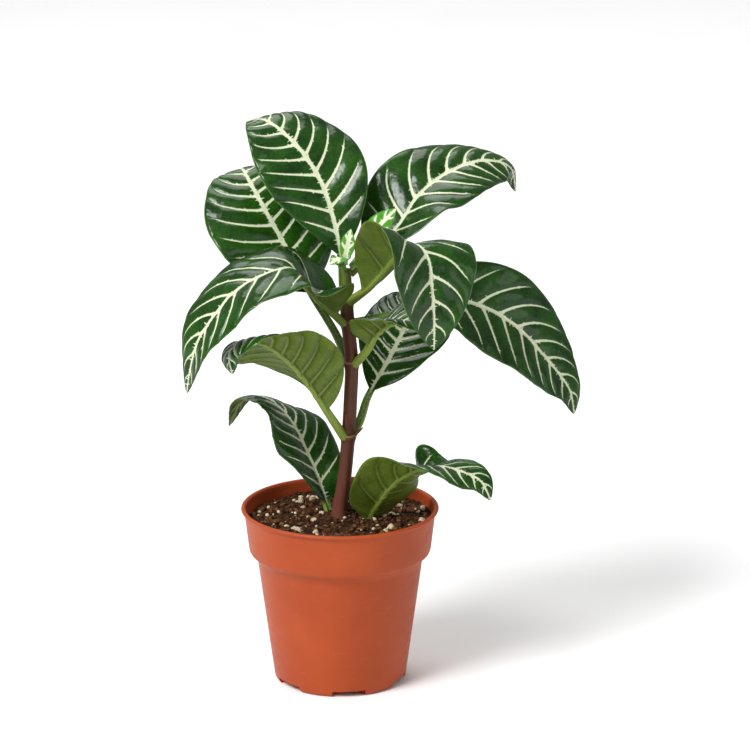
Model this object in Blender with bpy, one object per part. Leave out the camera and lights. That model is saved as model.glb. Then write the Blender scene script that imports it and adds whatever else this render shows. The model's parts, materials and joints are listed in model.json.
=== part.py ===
"""Zebra plant in an 11 cm nursery pot.

The plant is one upright stem with pairs of leaves, each pair turned a quarter
turn from the pair under it. It stands in potting mix in a moulded pot with a
notched foot. Everything is laid out in millimetres on the pot's own axis, and
one empty carries it all so that the whole plant's box is centred on the
origin, with the pot's foot on the ground.
"""

import math
from dataclasses import dataclass

import bmesh
import bpy
import numpy as np
from mathutils import Matrix, Vector, noise

MM = 0.001
CLEARANCE = 0.3          # gap between pieces that touch, mm

# The pot's axis sits left of the middle of the whole plant, because the
# leaves reach further to the right.
POT_AXIS_X = -24.7
POT_AXIS_Y = -4.0

# Pot, mm
POT_HEIGHT = 100.0
POT_LIP_RADIUS = 55.0
POT_FOOT_RADIUS = 35.0
POT_SIDES = 40
FLOOR_TOP = 5.0
FLOOR_UNDERSIDE = 3.8
NOTCH_COUNT = 6
NOTCH_WIDTH = 18.7
NOTCH_HEIGHT = 3.5
NOTCH_FRONT_ANGLE = -82.0     # the front notch's bearing from +X, degrees
RING_GAP_WIDTH = 8.0
DRAIN_HOLE_RADIUS = 3.2
DRAIN_HOLE_REACH = 25.5       # hole centre from the axis

# Potting mix, mm
SOIL_TOP = 93.0
SOIL_LUMP = 1.6
SOIL_BACK_RISE = 2.2
PERLITE_GRAINS = 34
PERLITE_SEED = 11

# Stem, mm: centre line and radius from the buried foot to the crown
STEM_SIDES = 12
STEM_RADIUS = 3.7
STEM_LINE = [
    (-1.0, 0.0, 62.0),
    (-0.9, 0.0, 93.0),
    (2.4, 0.0, 116.0),
    (4.6, 0.0, 139.5),
    (5.9, 0.0, 161.3),
    (6.6, 0.0, 183.0),
    (4.7, 0.0, 205.0),
    (3.9, 0.0, 218.0),
    (4.2, 0.0, 236.0),
]
NODE_HEIGHTS = [76.0, 140.0, 182.0, 205.0, 217.5]
NODE_SWELL = 0.7

# Leaves, mm
BLADE_THICKNESS = 0.8
KEEL_DEPTH = 2.8
KEEL_HALF_WIDTH = 1.5
PETIOLE_HALF_WIDTH = 2.5
PETIOLE_ROWS = 4
HALF_COLUMNS = 3
ROWS_PER_RIB = 3
RIB_SWEEP = 0.6
RIB_RELIEF = 0.55


@dataclass
class Leaf:
    """One leaf. Lists run from the stem to the tip in even steps."""

    name: str
    midrib: list             # points of the midrib, mm
    facing: list             # where the upper side looks
    left: list               # slope of the left half at the midrib and the margin, degrees
    right: list              # the same for the right half
    half_width: float        # widest half of the blade, mm
    petiole: float           # share of the midrib that is petiole
    broadness: float = 1.0   # below 1, the blade is widest nearer to the stem
    wave: float = 1.4        # height of the margin's waves, mm
    wave_start: float = 0.0  # where in a wave the margin begins, turns
    ribs: int = 7            # side ribs on each half
    keel: float = 1.0        # depth of the midrib's keel against a full-sized leaf


LEAVES = [
    Leaf(
        name="leaf_left_low",
        midrib=[(-3.2, 3, 82), (-7, 8, 97), (-13, 13, 113), (-19, 18, 126), (-25, 22, 138),
                (-33, 26, 148), (-43, 29, 154.5), (-54, 31, 153), (-62.5, 31, 137)],
        facing=[(0.6, -0.7, 0.4), (0.5, -0.75, 0.5), (0.2, -0.35, 0.9), (-0.1, 0.1, 1.0),
                (-0.7, 0.4, 0.5)],
        left=[(30, 30), (40, 25), (30, 0), (10, 0), (0, 0)],
        right=[(25, 25), (20, 10), (0, -20), (-10, -20), (0, 0)],
        half_width=24.0, petiole=0.16, broadness=0.85, wave=1.8, wave_start=0.1,
    ),
    Leaf(
        name="leaf_right_low",
        midrib=[(5, -0.3, 82), (10, -1, 86), (16.5, -2, 95.5), (21, -6, 103.5), (28.5, -11, 115),
                (40, -17, 125.5), (51, -22, 130), (67, -27, 128), (77, -31, 124), (82.5, -35, 114.5)],
        facing=[(-0.55, 0.7, 0.35), (-0.52, 0.7, 0.38), (-0.35, 0.75, 0.45), (-0.15, 0.78, 0.53),
                (0, 0.65, 0.7), (0.08, 0.3, 0.95), (0.1, -0.2, 0.95), (0.15, -0.55, 0.8),
                (0.3, -0.75, 0.5)],
        left=[(0, -10), (0, 0), (0, 10), (0, 50), (-20, 140), (-10, 35), (0, -10), (-5, -15),
              (0, 0)],
        right=[(10, 10), (10, 10), (10, 10), (8, 5), (0, 0), (0, 0), (5, 0), (10, 0), (20, 10)],
        half_width=24.5, petiole=0.13, broadness=0.75, wave=2.0, wave_start=0.3,
    ),
    Leaf(
        name="leaf_left_mid",
        midrib=[(3.2, -1.2, 140), (-4.7, -7, 154), (-16.6, -13, 174), (-28.5, -19, 189.5),
                (-42, -25, 200.5), (-53, -30, 203.5), (-59, -33, 197), (-57.5, -36, 186.5)],
        facing=[(0.1, 0.8, 0.5), (0.0, 0.75, 0.6), (-0.2, 0.5, 0.8), (-0.5, 0.2, 0.8),
                (-0.75, -0.5, 0.3)],
        left=[(5, -5), (5, 0), (10, 0), (0, -20), (0, -10)],
        right=[(55, 65), (50, 60), (30, 20), (0, -10), (0, -10)],
        half_width=31.0, petiole=0.2, broadness=0.93, wave=0.8, wave_start=0.0,
    ),
    Leaf(
        name="leaf_right_back",
        midrib=[(6.2, 1.2, 140), (10.7, 4, 147.6), (15, 10, 159), (19.3, 15, 166),
                (27, 23, 177.3), (34.5, 34, 189.5), (40, 46, 197), (48, 62, 201), (56, 76, 196)],
        facing=[(-0.5, -0.6, 0.5), (-0.4, -0.75, 0.5), (-0.3, -0.75, 0.6), (0.0, -0.5, 0.9),
                (0.4, 0.0, 0.9)],
        left=[(20, 10), (10, 0), (5, 0), (0, -10), (0, -10)],
        right=[(20, 10), (10, 0), (5, 0), (0, -10), (0, -10)],
        half_width=26.0, petiole=0.25, wave=1.3, wave_start=0.4,
    ),
    Leaf(
        name="leaf_left_back",
        midrib=[(5.2, 1.3, 182), (1.3, 5, 191), (-18, 16.5, 221.5), (-32, 28, 245),
                (-41, 34, 260), (-50, 48, 273), (-55, 60, 278), (-59, 70, 274)],
        facing=[(0.6, -0.6, 0.6), (0.4, -0.75, 0.5), (0.2, -0.8, 0.6), (0.0, -0.5, 0.9),
                (-0.2, 0.0, 1.0)],
        left=[(20, 10), (5, 0), (0, 0), (0, -5), (0, -10)],
        right=[(20, 10), (5, 0), (0, 0), (0, -10), (0, -10)],
        half_width=35.5, petiole=0.32, broadness=0.92, wave=1.4, wave_start=0.2,
    ),
    Leaf(
        name="leaf_right_inner",
        midrib=[(7.8, -1.2, 182), (14.6, -6, 191), (20, -11, 201.5), (27, -17, 208.7),
                (39.6, -25, 212.6), (48.3, -31, 210.3), (53, -35, 202.8)],
        facing=[(0.1, 0.5, 0.85), (0.1, 0.4, 0.9), (0.2, 0.1, 1.0), (0.6, -0.4, 0.6)],
        left=[(70, 70), (60, 55), (30, 20), (0, -10)],
        right=[(15, 20), (15, 5), (10, -10), (0, -10)],
        half_width=21.0, petiole=0.24, broadness=0.68, wave=1.0, wave_start=0.6,
    ),
    Leaf(
        name="leaf_left_long",
        midrib=[(3.4, -1.3, 205), (-17, -9, 227), (-25.5, -13, 239), (-40.5, -20, 237.5),
                (-54, -25, 231), (-67, -29, 217), (-76, -31, 203), (-80, -31, 189), (-82.5, -30, 174)],
        facing=[(-0.1, 0.95, 0.25), (0.1, 0.9, 0.4), (0.1, 0, 1.0), (-0.1, -0.15, 1.0),
                (-0.25, -0.25, 0.95), (-0.45, -0.4, 0.8), (-0.6, -0.5, 0.6), (-0.7, -0.55, 0.45),
                (-0.8, -0.6, 0.3)],
        left=[(0, 0), (0, 0), (5, -10), (12, -10), (10, -10), (12, -8), (15, -5), (12, -2),
              (10, 0)],
        right=[(115, 115), (95, 95), (30, 20), (10, -10), (8, -12), (12, -8), (15, -5), (12, -2),
               (10, 0)],
        half_width=31.0, petiole=0.06, broadness=0.54, wave=1.2, wave_start=0.3,
    ),
    Leaf(
        name="leaf_right_long",
        midrib=[(6, 1.2, 205), (22, 8, 206.5), (36, 14, 208.5), (50, 19, 211.5), (64, 23, 212),
                (79, 26, 207.5), (92, 28, 200), (103, 29.5, 190.5), (112, 30, 180),
                (121, 30, 169), (128.5, 30, 157.5), (131, 29, 144.6)],
        facing=[(0.0, -0.6, 0.8), (-0.1, -0.8, 0.6), (0.1, -0.9, 0.4), (0.4, -0.8, 0.4),
                (0.6, -0.8, 0.2)],
        left=[(10, 0), (5, 0), (10, -10), (0, -20), (0, -20)],
        right=[(10, 0), (15, 10), (30, 15), (30, 10), (15, 0)],
        half_width=27.5, petiole=0.2, broadness=0.95, wave=1.2, wave_start=0.5,
    ),
    Leaf(
        name="leaf_top",
        midrib=[(2.8, 1.3, 217.5), (0.6, 4.8, 243), (-3.2, 9, 262), (-11, 15, 283),
                (-25, 24, 301), (-43, 38, 311), (-51, 47, 308)],
        facing=[(0.3, -0.9, 0.3), (0.1, -0.9, 0.4), (0.05, -0.7, 0.7), (-0.2, -0.1, 1.0)],
        left=[(10, 10), (5, 0), (0, -10), (0, -10)],
        right=[(40, 40), (25, 20), (-5, -10), (0, -20)],
        half_width=28.5, petiole=0.2, broadness=1.05, wave=1.3, wave_start=0.1,
    ),
    Leaf(
        name="leaf_right_front",
        midrib=[(5.0, -1.2, 217.5), (16.8, -9, 228.6), (26, -17, 241.8), (33.5, -26, 252.5),
                (39.5, -34, 258), (45, -42, 256.7), (48, -47, 251.7), (49.2, -50, 242),
                (50.7, -53, 225), (51, -54, 205.2)],
        facing=[(0.5, 0.8, 0.3), (0.2, 0.5, 0.8), (0.3, 0.0, 0.9), (0.2, -0.9, 0.4),
                (0.1, -1.0, 0.1)],
        left=[(60, 60), (50, 40), (20, 0), (0, -10), (10, 0)],
        right=[(5, 0), (10, 0), (20, 10), (35, 25), (25, 10)],
        half_width=29.5, petiole=0.1, wave=1.0, wave_start=0.2,
    ),
    Leaf(
        name="leaf_right_high",
        midrib=[(5.4, 2.2, 233), (19, 6, 244.5), (32, 13.5, 256), (44, 23, 272), (57, 31, 281),
                (66.5, 37, 284.5), (82, 46, 286), (95, 53, 280), (98, 55, 266.5)],
        facing=[(-0.3, -0.7, 0.6), (-0.2, -0.8, 0.6), (-0.1, -0.8, 0.6), (0.3, -0.5, 0.8),
                (0.6, -0.6, 0.45)],
        left=[(-5, -10), (0, -5), (0, -15), (0, -45), (-15, -50)],
        right=[(50, 45), (48, 40), (32, 18), (8, 0), (0, -10)],
        half_width=29.0, petiole=0.12, broadness=0.68, wave=1.2, wave_start=0.7,
    ),
    Leaf(
        name="young_leaf_front",
        midrib=[(2.6, -2, 236.5), (2.4, -6, 241.5), (0.4, -11, 244.6), (-4.8, -16, 242.5)],
        facing=[(-0.6, -0.2, 0.7), (-0.3, -0.5, 0.8), (-0.3, -0.75, 0.6)],
        left=[(15, 10), (10, 0), (5, 0)],
        right=[(15, 10), (10, 0), (5, 0)],
        half_width=5.5, petiole=0.12, wave=0.4, ribs=3, keel=0.4,
    ),
    Leaf(
        name="young_leaf_upright",
        midrib=[(3.3, 0.9, 238), (4, 1.2, 244), (5.2, 1.2, 250.5), (6.4, 0.8, 258)],
        facing=[(-0.4, -0.85, 0.2), (-0.4, -0.85, 0.2), (-0.4, -0.8, 0.3)],
        left=[(20, 15), (15, 10), (10, 5)],
        right=[(20, 15), (15, 10), (10, 5)],
        half_width=4.6, petiole=0.1, wave=0.4, ribs=3, keel=0.4,
    ),
    Leaf(
        name="young_leaf_right",
        midrib=[(6, -1.6, 237.5), (11.5, -3.4, 246), (19.5, -4.8, 258), (31, -6.5, 271)],
        facing=[(-0.6, -0.5, 0.6), (-0.5, -0.65, 0.6), (-0.4, -0.7, 0.6)],
        left=[(20, 15), (10, 5), (5, 0)],
        right=[(20, 15), (10, 5), (5, 0)],
        half_width=8.0, petiole=0.15, broadness=1.2, wave=0.6, ribs=4, keel=0.5,
    ),
]


def clear_scene():
    for old in list(bpy.data.objects):
        bpy.data.objects.remove(old, do_unlink=True)


def finish(name, colour, roughness):
    """A plain finish with the piece's own colour."""
    material = bpy.data.materials.new(name)
    material.use_nodes = True
    shader = material.node_tree.nodes["Principled BSDF"]
    shader.inputs["Base Color"].default_value = (*colour, 1.0)
    shader.inputs["Roughness"].default_value = roughness
    shader.inputs["Metallic"].default_value = 0.0
    return material


def add_piece(name, bm, material, carrier):
    """Turn a bmesh in millimetres into a named object in metres."""
    bmesh.ops.scale(bm, vec=(MM, MM, MM), verts=bm.verts)
    mesh = bpy.data.meshes.new(name)
    bm.to_mesh(mesh)
    bm.free()
    mesh.materials.append(material)
    mesh.shade_smooth()
    mesh.set_sharp_from_angle(angle=math.radians(50))
    piece = bpy.data.objects.new(name, mesh)
    bpy.context.collection.objects.link(piece)
    piece.parent = carrier
    return piece


def hide_guide(guide):
    guide.hide_render = True
    guide.display_type = "WIRE"


def apply_boolean(piece, operation, other=None, group=None, solver="EXACT"):
    """Run one Boolean on a piece and keep its result as the piece's mesh."""
    modifier = piece.modifiers.new(operation.title(), "BOOLEAN")
    modifier.operation = operation
    modifier.solver = solver
    if group is not None:
        modifier.operand_type = "COLLECTION"
        modifier.collection = group
    else:
        modifier.object = other
    bpy.context.view_layer.update()
    graph = bpy.context.evaluated_depsgraph_get()
    result = bpy.data.meshes.new_from_object(piece.evaluated_get(graph), depsgraph=graph)
    piece.modifiers.clear()
    spare = piece.data
    piece.data = result
    bpy.data.meshes.remove(spare)


def remove_pieces(pieces):
    for piece in pieces:
        bpy.data.objects.remove(piece, do_unlink=True)


def path(knots, stations):
    """Smooth curve through rows of numbers, read at even stations from 0 to 1.

    Knots are spaced by the distance between them where they are points, so
    the stations are close to even in length.
    """
    knots = np.asarray(knots, float)
    gaps = np.linalg.norm(np.diff(knots, axis=0), axis=1)
    places = np.concatenate([[0.0], np.cumsum(gaps)]) / gaps.sum()
    return hermite(places, knots, stations)


def even_path(knots, stations):
    """Smooth curve through rows of numbers that sit at even steps."""
    knots = np.asarray(knots, float)
    return hermite(np.linspace(0.0, 1.0, len(knots)), knots, stations)


def hermite(places, knots, stations):
    """Cubic curve through the knots, with a slope at each from its neighbours."""
    slopes = np.gradient(knots, places, axis=0)
    stations = np.asarray(stations, float)
    spans = np.clip(np.searchsorted(places, stations, side="right") - 1, 0, len(places) - 2)
    width = places[spans + 1] - places[spans]
    t = ((stations - places[spans]) / width)[..., None]
    width = width[..., None]
    return (
        (2 * t**3 - 3 * t**2 + 1) * knots[spans]
        + (t**3 - 2 * t**2 + t) * width * slopes[spans]
        + (-2 * t**3 + 3 * t**2) * knots[spans + 1]
        + (t**3 - t**2) * width * slopes[spans + 1]
    )


def unit(vectors):
    return vectors / np.linalg.norm(vectors, axis=-1, keepdims=True)


def blade_outline(share, broadness):
    """Half-width of the blade along its length, 1 at its widest.

    Nearly elliptical and drawn out to a point.
    """
    share = np.clip(share, 0.0, 1.0)
    return np.sin(np.pi * share**broadness) ** 0.74 * (1.0 - 0.2 * share**6)


def leaf_rows(leaf):
    """Stations of the sheet's rows: even along the petiole, then three to a rib."""
    petiole = np.linspace(0.0, leaf.petiole, PETIOLE_ROWS + 1)[:-1]
    count = leaf.ribs * ROWS_PER_RIB
    blade = np.linspace(0.0, 1.0, count + 1)
    return petiole, blade


def leaf_stations(leaf, across):
    """Where each vertex lies along the midrib, and its phase among the ribs.

    A row of the blade runs along a side rib, so it sweeps forward towards the
    margin. Across is the share of the half-width, 0 at the midrib.
    """
    petiole, blade = leaf_rows(leaf)
    across = np.abs(across)[None, :]
    swept = blade[:, None] + RIB_SWEEP * across**1.4 * blade[:, None] ** 0.7 * (1.0 - blade[:, None])
    stations = np.concatenate([
        np.repeat(petiole[:, None], across.shape[1], axis=1),
        leaf.petiole + (1.0 - leaf.petiole) * swept,
    ])
    phase = np.concatenate([np.zeros(len(petiole)), blade * leaf.ribs])
    return stations, phase


def leaf_widths(leaf, stations):
    """Half-width of the leaf at stations along its midrib, wings and blade."""
    blade = (stations - leaf.petiole) / (1.0 - leaf.petiole)
    petiole = PETIOLE_HALF_WIDTH * min(1.0, leaf.keel + 0.1)
    stalk = petiole * np.interp(stations, [0.0, leaf.petiole, 1.0], [1.0, 0.8, 0.12])
    return np.hypot(stalk, leaf.half_width * blade_outline(blade, leaf.broadness))


def leaf_points(leaf, across):
    """Middle surface of a leaf: rows by columns of points, with their normals."""
    stations, phase = leaf_stations(leaf, across)
    width = leaf_widths(leaf, stations)
    inner = np.minimum(KEEL_HALF_WIDTH * leaf.keel, 0.45 * width)
    share = np.abs(across)[None, :]
    first = 1.0 / HALF_COLUMNS
    beyond = inner + (width - inner) * (share - first) / (1.0 - first)
    reach = np.where(share <= first, inner * share / first, beyond)

    spine = path(leaf.midrib, stations)
    ahead = path(leaf.midrib, np.clip(stations + 0.004, 0.0, 1.0))
    behind = path(leaf.midrib, np.clip(stations - 0.004, 0.0, 1.0))
    forward = unit(ahead - behind)
    up = unit(even_path(leaf.facing, stations))
    up = unit(up - (up * forward).sum(-1, keepdims=True) * forward)
    side = np.cross(forward, up)

    right = across[None, :] > 0.0
    slopes = np.where(right[..., None], even_path(leaf.right, stations), even_path(leaf.left, stations))
    fullness = reach / np.maximum(width, 1e-6)
    slope = np.radians(slopes[..., 0] + (slopes[..., 1] - slopes[..., 0]) * fullness / 2.0)
    out = reach * np.cos(slope)
    rise = reach * np.sin(slope)

    size = width / 27.0
    edge = fullness**3 * np.sin(2 * np.pi * (3.5 * stations + leaf.wave_start + 0.31 * right))
    rise = rise + leaf.wave * size * edge
    relief = np.sqrt(fullness) * (1.0 - 0.7 * fullness**3) * np.minimum(1.0, size * 1.4)
    rise = rise - RIB_RELIEF * relief * np.cos(2 * np.pi * phase[:, None]) * (phase[:, None] > 0)

    points = spine + np.sign(across)[None, :, None] * side * out[..., None] + up * rise[..., None]
    along = np.gradient(points, axis=0)
    aside = np.gradient(points, axis=1)
    normals = np.cross(aside, along)
    normals = unit(normals)
    return points, normals, stations, width


def leaf_sheet(leaf):
    """Closed blade and petiole: one grid, doubled, with a keel under the midrib."""
    across = np.linspace(-1.0, 1.0, 2 * HALF_COLUMNS + 1)
    points, normals, stations, width = leaf_points(leaf, across)
    rows, columns = points.shape[:2]

    keel = KEEL_DEPTH * leaf.keel * np.interp(
        stations, [0.0, leaf.petiole, leaf.petiole + 0.35, 1.0], [1.0, 0.8, 0.35, 0.0])
    stalk = np.interp(stations, [leaf.petiole * 0.6, leaf.petiole + 0.15], [1.0, 0.2])
    steps = np.rint(np.abs(across) * HALF_COLUMNS)[None, :]
    depth = np.where(steps == 0, keel, np.where(steps == 1, keel * 0.6 * stalk, 0.0))
    upper = points + normals * BLADE_THICKNESS / 2
    lower = points - normals * (BLADE_THICKNESS / 2 + depth[..., None])

    bm = bmesh.new()
    bmesh.ops.create_grid(bm, x_segments=columns - 1, y_segments=rows - 1, size=1.0)
    bmesh.ops.triangulate(bm, faces=bm.faces[:])
    doubled = bmesh.ops.extrude_face_region(bm, geom=bm.faces[:], use_keep_orig=True)
    top = {item for item in doubled["geom"] if isinstance(item, bmesh.types.BMVert)}
    for vert in bm.verts:
        column = round((vert.co.x + 1.0) / 2.0 * (columns - 1))
        row = round((vert.co.y + 1.0) / 2.0 * (rows - 1))
        surface = upper if vert in top else lower
        vert.co = surface[row, column]
    bmesh.ops.triangulate(bm, faces=bm.faces[:])
    bmesh.ops.recalc_face_normals(bm, faces=bm.faces[:])
    return bm


def tube(name, points, radii, sides):
    """Closed tube along a line of points, from a bevelled curve with filled caps."""
    curve = bpy.data.curves.new(name, "CURVE")
    curve.dimensions = "3D"
    curve.bevel_depth = 1.0
    curve.bevel_resolution = sides // 2 - 2
    curve.use_fill_caps = True
    line = curve.splines.new("POLY")
    line.points.add(len(points) - 1)
    for knot, point, radius in zip(line.points, points, radii):
        knot.co = (*point, 1.0)
        knot.radius = radius
    guide = bpy.data.objects.new(name, curve)
    bpy.context.collection.objects.link(guide)
    bpy.context.view_layer.update()
    mesh = bpy.data.meshes.new_from_object(guide)
    bpy.data.objects.remove(guide, do_unlink=True)
    bm = bmesh.new()
    bm.from_mesh(mesh)
    bpy.data.meshes.remove(mesh)
    bmesh.ops.remove_doubles(bm, verts=bm.verts, dist=1e-4)
    bmesh.ops.recalc_face_normals(bm, faces=bm.faces[:])
    return bm


def stem_line(extra=0.0):
    """Points and radii of the stem, swollen to a ring at every node."""
    stations = np.linspace(0.0, 1.0, 41)
    points = path(STEM_LINE, stations)
    heights = points[:, 2]
    radii = STEM_RADIUS + 0.3 * np.exp(-((heights - 93.0) / 14.0) ** 2)
    radii = radii * np.interp(heights, [60.0, 217.0, 236.0], [1.05, 1.0, 0.62])
    for node in NODE_HEIGHTS:
        radii = radii + NODE_SWELL * np.exp(-((heights - node) / 2.2) ** 2)
    return points, radii + extra


def build_stem(material, carrier):
    points, radii = stem_line()
    piece = add_piece("stem", tube("stem", points, radii, STEM_SIDES), material, carrier)
    shoots = [
        tube("shoot", [(5.0, -2.4, 141), (4.8, -6.0, 146), (3.6, -7.6, 151), (3.8, -7.2, 155)],
             [1.1, 0.9, 0.6, 0.3], 6),
        tube("shoot", [(7.0, -1.0, 141), (10.5, -2.6, 144), (13.0, -3.4, 146.5)],
             [1.2, 0.9, 0.3], 6),
    ]
    grown = [add_piece("shoot", shoot, material, carrier) for shoot in shoots]
    for shoot in grown:
        apply_boolean(piece, "UNION", other=shoot)
    remove_pieces(grown)
    return piece


def add_leaf(leaf, material, carrier, stem_room):
    """One leaf, with its foot cut back from the stem by the clearance."""
    piece = add_piece(leaf.name, leaf_sheet(leaf), material, carrier)
    apply_boolean(piece, "DIFFERENCE", other=stem_room)
    return piece


def spin_profile(profile, sides):
    """Turn a profile of (radius, height) points round the axis into a solid."""
    bm = bmesh.new()
    verts = [bm.verts.new((radius, 0.0, height)) for radius, height in profile]
    edges = [bm.edges.new(pair) for pair in zip(verts, verts[1:])]
    bmesh.ops.spin(bm, geom=verts + edges, cent=(0, 0, 0), axis=(0, 0, 1),
                   angle=math.tau, steps=sides, use_merge=True)
    bmesh.ops.remove_doubles(bm, verts=bm.verts, dist=1e-4)
    bmesh.ops.recalc_face_normals(bm, faces=bm.faces[:])
    return bm


def pot_profile():
    """The pot's section, from the middle of the floor's underside round to its top."""
    foot_inner = POT_FOOT_RADIUS - 1.5
    return [
        (0.0, FLOOR_UNDERSIDE),
        (30.6, FLOOR_UNDERSIDE),
        (30.8, 0.3),
        (31.9, 0.3),
        (32.1, FLOOR_UNDERSIDE),
        (foot_inner, FLOOR_UNDERSIDE),
        (foot_inner, 0.0),
        (POT_FOOT_RADIUS, 0.0),
        (36.2, 0.8),
        (37.0, 2.6),
        (46.0, 69.5),
        (46.9, 71.4),
        (49.6, 73.9),
        (50.6, 75.6),
        (50.9, 77.5),
        (53.3, 97.6),
        (54.4, 98.0),
        (POT_LIP_RADIUS, 98.8),
        (54.8, 99.6),
        (54.0, POT_HEIGHT),
        (52.8, 99.7),
        (52.2, 98.6),
        (49.7, 77.0),
        (49.2, 75.3),
        (45.6, 71.8),
        (44.8, 69.8),
        (35.9, 5.8),
        (35.0, FLOOR_TOP),
        (0.0, FLOOR_TOP),
    ]


def box_cutter(name, length, width, height, place, bearing, top_share=1.0):
    """Closed box lying out along a bearing, its top narrowed by a share."""
    bm = bmesh.new()
    bmesh.ops.create_cube(bm, size=1.0)
    for vert in bm.verts:
        narrow = top_share if vert.co.z > 0 else 1.0
        vert.co = Vector((vert.co.x * length, vert.co.y * width * narrow, vert.co.z * height))
    turn = Matrix.Rotation(math.radians(bearing), 4, "Z")
    bmesh.ops.transform(bm, matrix=turn @ Matrix.Translation(place), verts=bm.verts)
    return bm


def build_pot(material, carrier):
    """Moulded pot: turned wall, notched foot skirt and drained floor."""
    piece = add_piece("pot", spin_profile(pot_profile(), POT_SIDES), material, carrier)
    cutters = bpy.data.collections.new("pot_cuts")
    bpy.context.scene.collection.children.link(cutters)
    for index in range(NOTCH_COUNT):
        bearing = NOTCH_FRONT_ANGLE + index * 360.0 / NOTCH_COUNT
        notch_place = (POT_FOOT_RADIUS, 0.0, NOTCH_HEIGHT / 2 - 1.0)
        notch = box_cutter("notch", 5.0, NOTCH_WIDTH, NOTCH_HEIGHT + 2.0, notch_place, bearing)
        gap_place = (31.3, 0.0, NOTCH_HEIGHT / 2 - 1.0)
        gap = box_cutter("gap", 3.0, RING_GAP_WIDTH, NOTCH_HEIGHT + 2.0, gap_place, bearing, 0.8)
        hole = bmesh.new()
        bmesh.ops.create_cone(hole, cap_ends=True, segments=12, radius1=DRAIN_HOLE_RADIUS,
                              radius2=DRAIN_HOLE_RADIUS, depth=6.0)
        turn = Matrix.Rotation(math.radians(bearing), 4, "Z")
        place = Matrix.Translation((DRAIN_HOLE_REACH, 0.0, FLOOR_TOP - 0.5))
        bmesh.ops.transform(hole, matrix=turn @ place, verts=hole.verts)
        for label, bm in (("notch", notch), ("gap", gap), ("hole", hole)):
            cutter = add_piece(f"pot_{label}_{index}", bm, material, carrier)
            bpy.context.collection.objects.unlink(cutter)
            cutters.objects.link(cutter)
            hide_guide(cutter)
    apply_boolean(piece, "DIFFERENCE", group=cutters)
    remove_pieces(list(cutters.objects))
    bpy.data.collections.remove(cutters)
    return piece


def soil_height(x, y):
    """Top of the potting mix: a little higher at the back and right, crumbly."""
    height = SOIL_TOP - 1.0
    height += SOIL_BACK_RISE * (0.55 * y + 0.35 * x) / 50.0
    height += 2.6 * math.exp(-((x + 1.0) ** 2 + y**2) / 260.0)
    lumps = noise.noise(Vector((x, y, 3.0)) / 7.0) + 0.6 * noise.noise(Vector((x, y, 9.0)) / 3.2)
    return height + SOIL_LUMP * lumps


def pot_inner_radius(height):
    """Inner wall of the pot at a height, from its section."""
    inner = [point for point in pot_profile() if point[1] >= FLOOR_TOP][-9:]
    heights = [point[1] for point in reversed(inner)]
    radii = [point[0] for point in reversed(inner)]
    return float(np.interp(height, heights, radii))


def surface_height(piece, x, y):
    """Height of a piece's top over a point, mm."""
    place = piece.ray_cast((x * MM, y * MM, 2 * SOIL_TOP * MM), (0.0, 0.0, -1.0))[1]
    return place.z / MM


def build_soil(material, carrier, holes, growing):
    """Potting mix filling the pot, with perlite grains set in its top.

    Growing lists where the stem and the lowest leaves come out of it.
    """
    rim = pot_inner_radius(SOIL_TOP) - CLEARANCE - 0.1
    profile = [(0.0, SOIL_TOP)]
    profile += [(rim * share, SOIL_TOP) for share in np.linspace(0.0, 1.0, 9)[1:]]
    for height in (78.5, 76.0, 71.2, 68.0, 7.0):
        profile.append((pot_inner_radius(height) - CLEARANCE - 0.1, height))
    profile.append((34.0, FLOOR_TOP + CLEARANCE))
    profile.append((0.0, FLOOR_TOP + CLEARANCE))
    bm = spin_profile(profile, POT_SIDES)
    for vert in bm.verts:
        if vert.co.z > SOIL_TOP - 0.1:
            vert.co.z = soil_height(vert.co.x, vert.co.y)
    piece = add_piece("potting_mix", bm, material, carrier)
    bpy.context.view_layer.update()

    rng = np.random.default_rng(PERLITE_SEED)
    grains = bpy.data.collections.new("perlite")
    bpy.context.scene.collection.children.link(grains)
    placed = []
    while len(placed) < PERLITE_GRAINS:
        bearing = rng.uniform(0.0, math.tau)
        reach = (rim - 4.0) * math.sqrt(rng.uniform(0.05, 1.0))
        x, y = reach * math.cos(bearing), reach * math.sin(bearing)
        radius = rng.uniform(1.0, 2.1)
        near_grain = any(math.hypot(x - a, y - b) < 5.0 for a, b in placed)
        near_plant = any(math.hypot(x - a, y - b) < 7.5 for a, b in growing)
        if near_grain or near_plant:
            continue
        placed.append((x, y))
        bm = bmesh.new()
        bmesh.ops.create_icosphere(bm, subdivisions=1, radius=radius)
        squash = Matrix.Diagonal((1.0, rng.uniform(0.75, 1.0), rng.uniform(0.65, 0.9), 1.0))
        turn = Matrix.Rotation(rng.uniform(0.0, math.tau), 4, "Z")
        place = Matrix.Translation((x, y, surface_height(piece, x, y) + 0.2 * radius))
        bmesh.ops.transform(bm, matrix=place @ turn @ squash, verts=bm.verts)
        grain = add_piece(f"grain_{len(placed)}", bm, material, carrier)
        bpy.context.collection.objects.unlink(grain)
        grains.objects.link(grain)
    apply_boolean(piece, "UNION", group=grains)
    remove_pieces(list(grains.objects))
    bpy.data.collections.remove(grains)
    for hole in holes:
        apply_boolean(piece, "DIFFERENCE", other=hole)
    return piece


def at_height(knots, height):
    """Where a rising curve passes a height: its x and y."""
    points = path(knots, np.linspace(0.0, 1.0, 200))
    nearest = points[np.argmin(np.abs(points[:, 2] - height))]
    return nearest[0], nearest[1]


def petiole_hole(leaf, material, carrier):
    """Plain round hole down which a basal leaf's petiole reaches the buried stem."""
    points = path(leaf.midrib, np.linspace(0.0, leaf.petiole * 1.5, 6))
    beyond = points[0] + (points[0] - points[1]) * 0.4
    line = np.vstack([beyond, points])
    line[:, 2] -= 1.2
    return add_piece("hole", tube("hole", line, [4.2] * len(line), 10), material, carrier)


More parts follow.
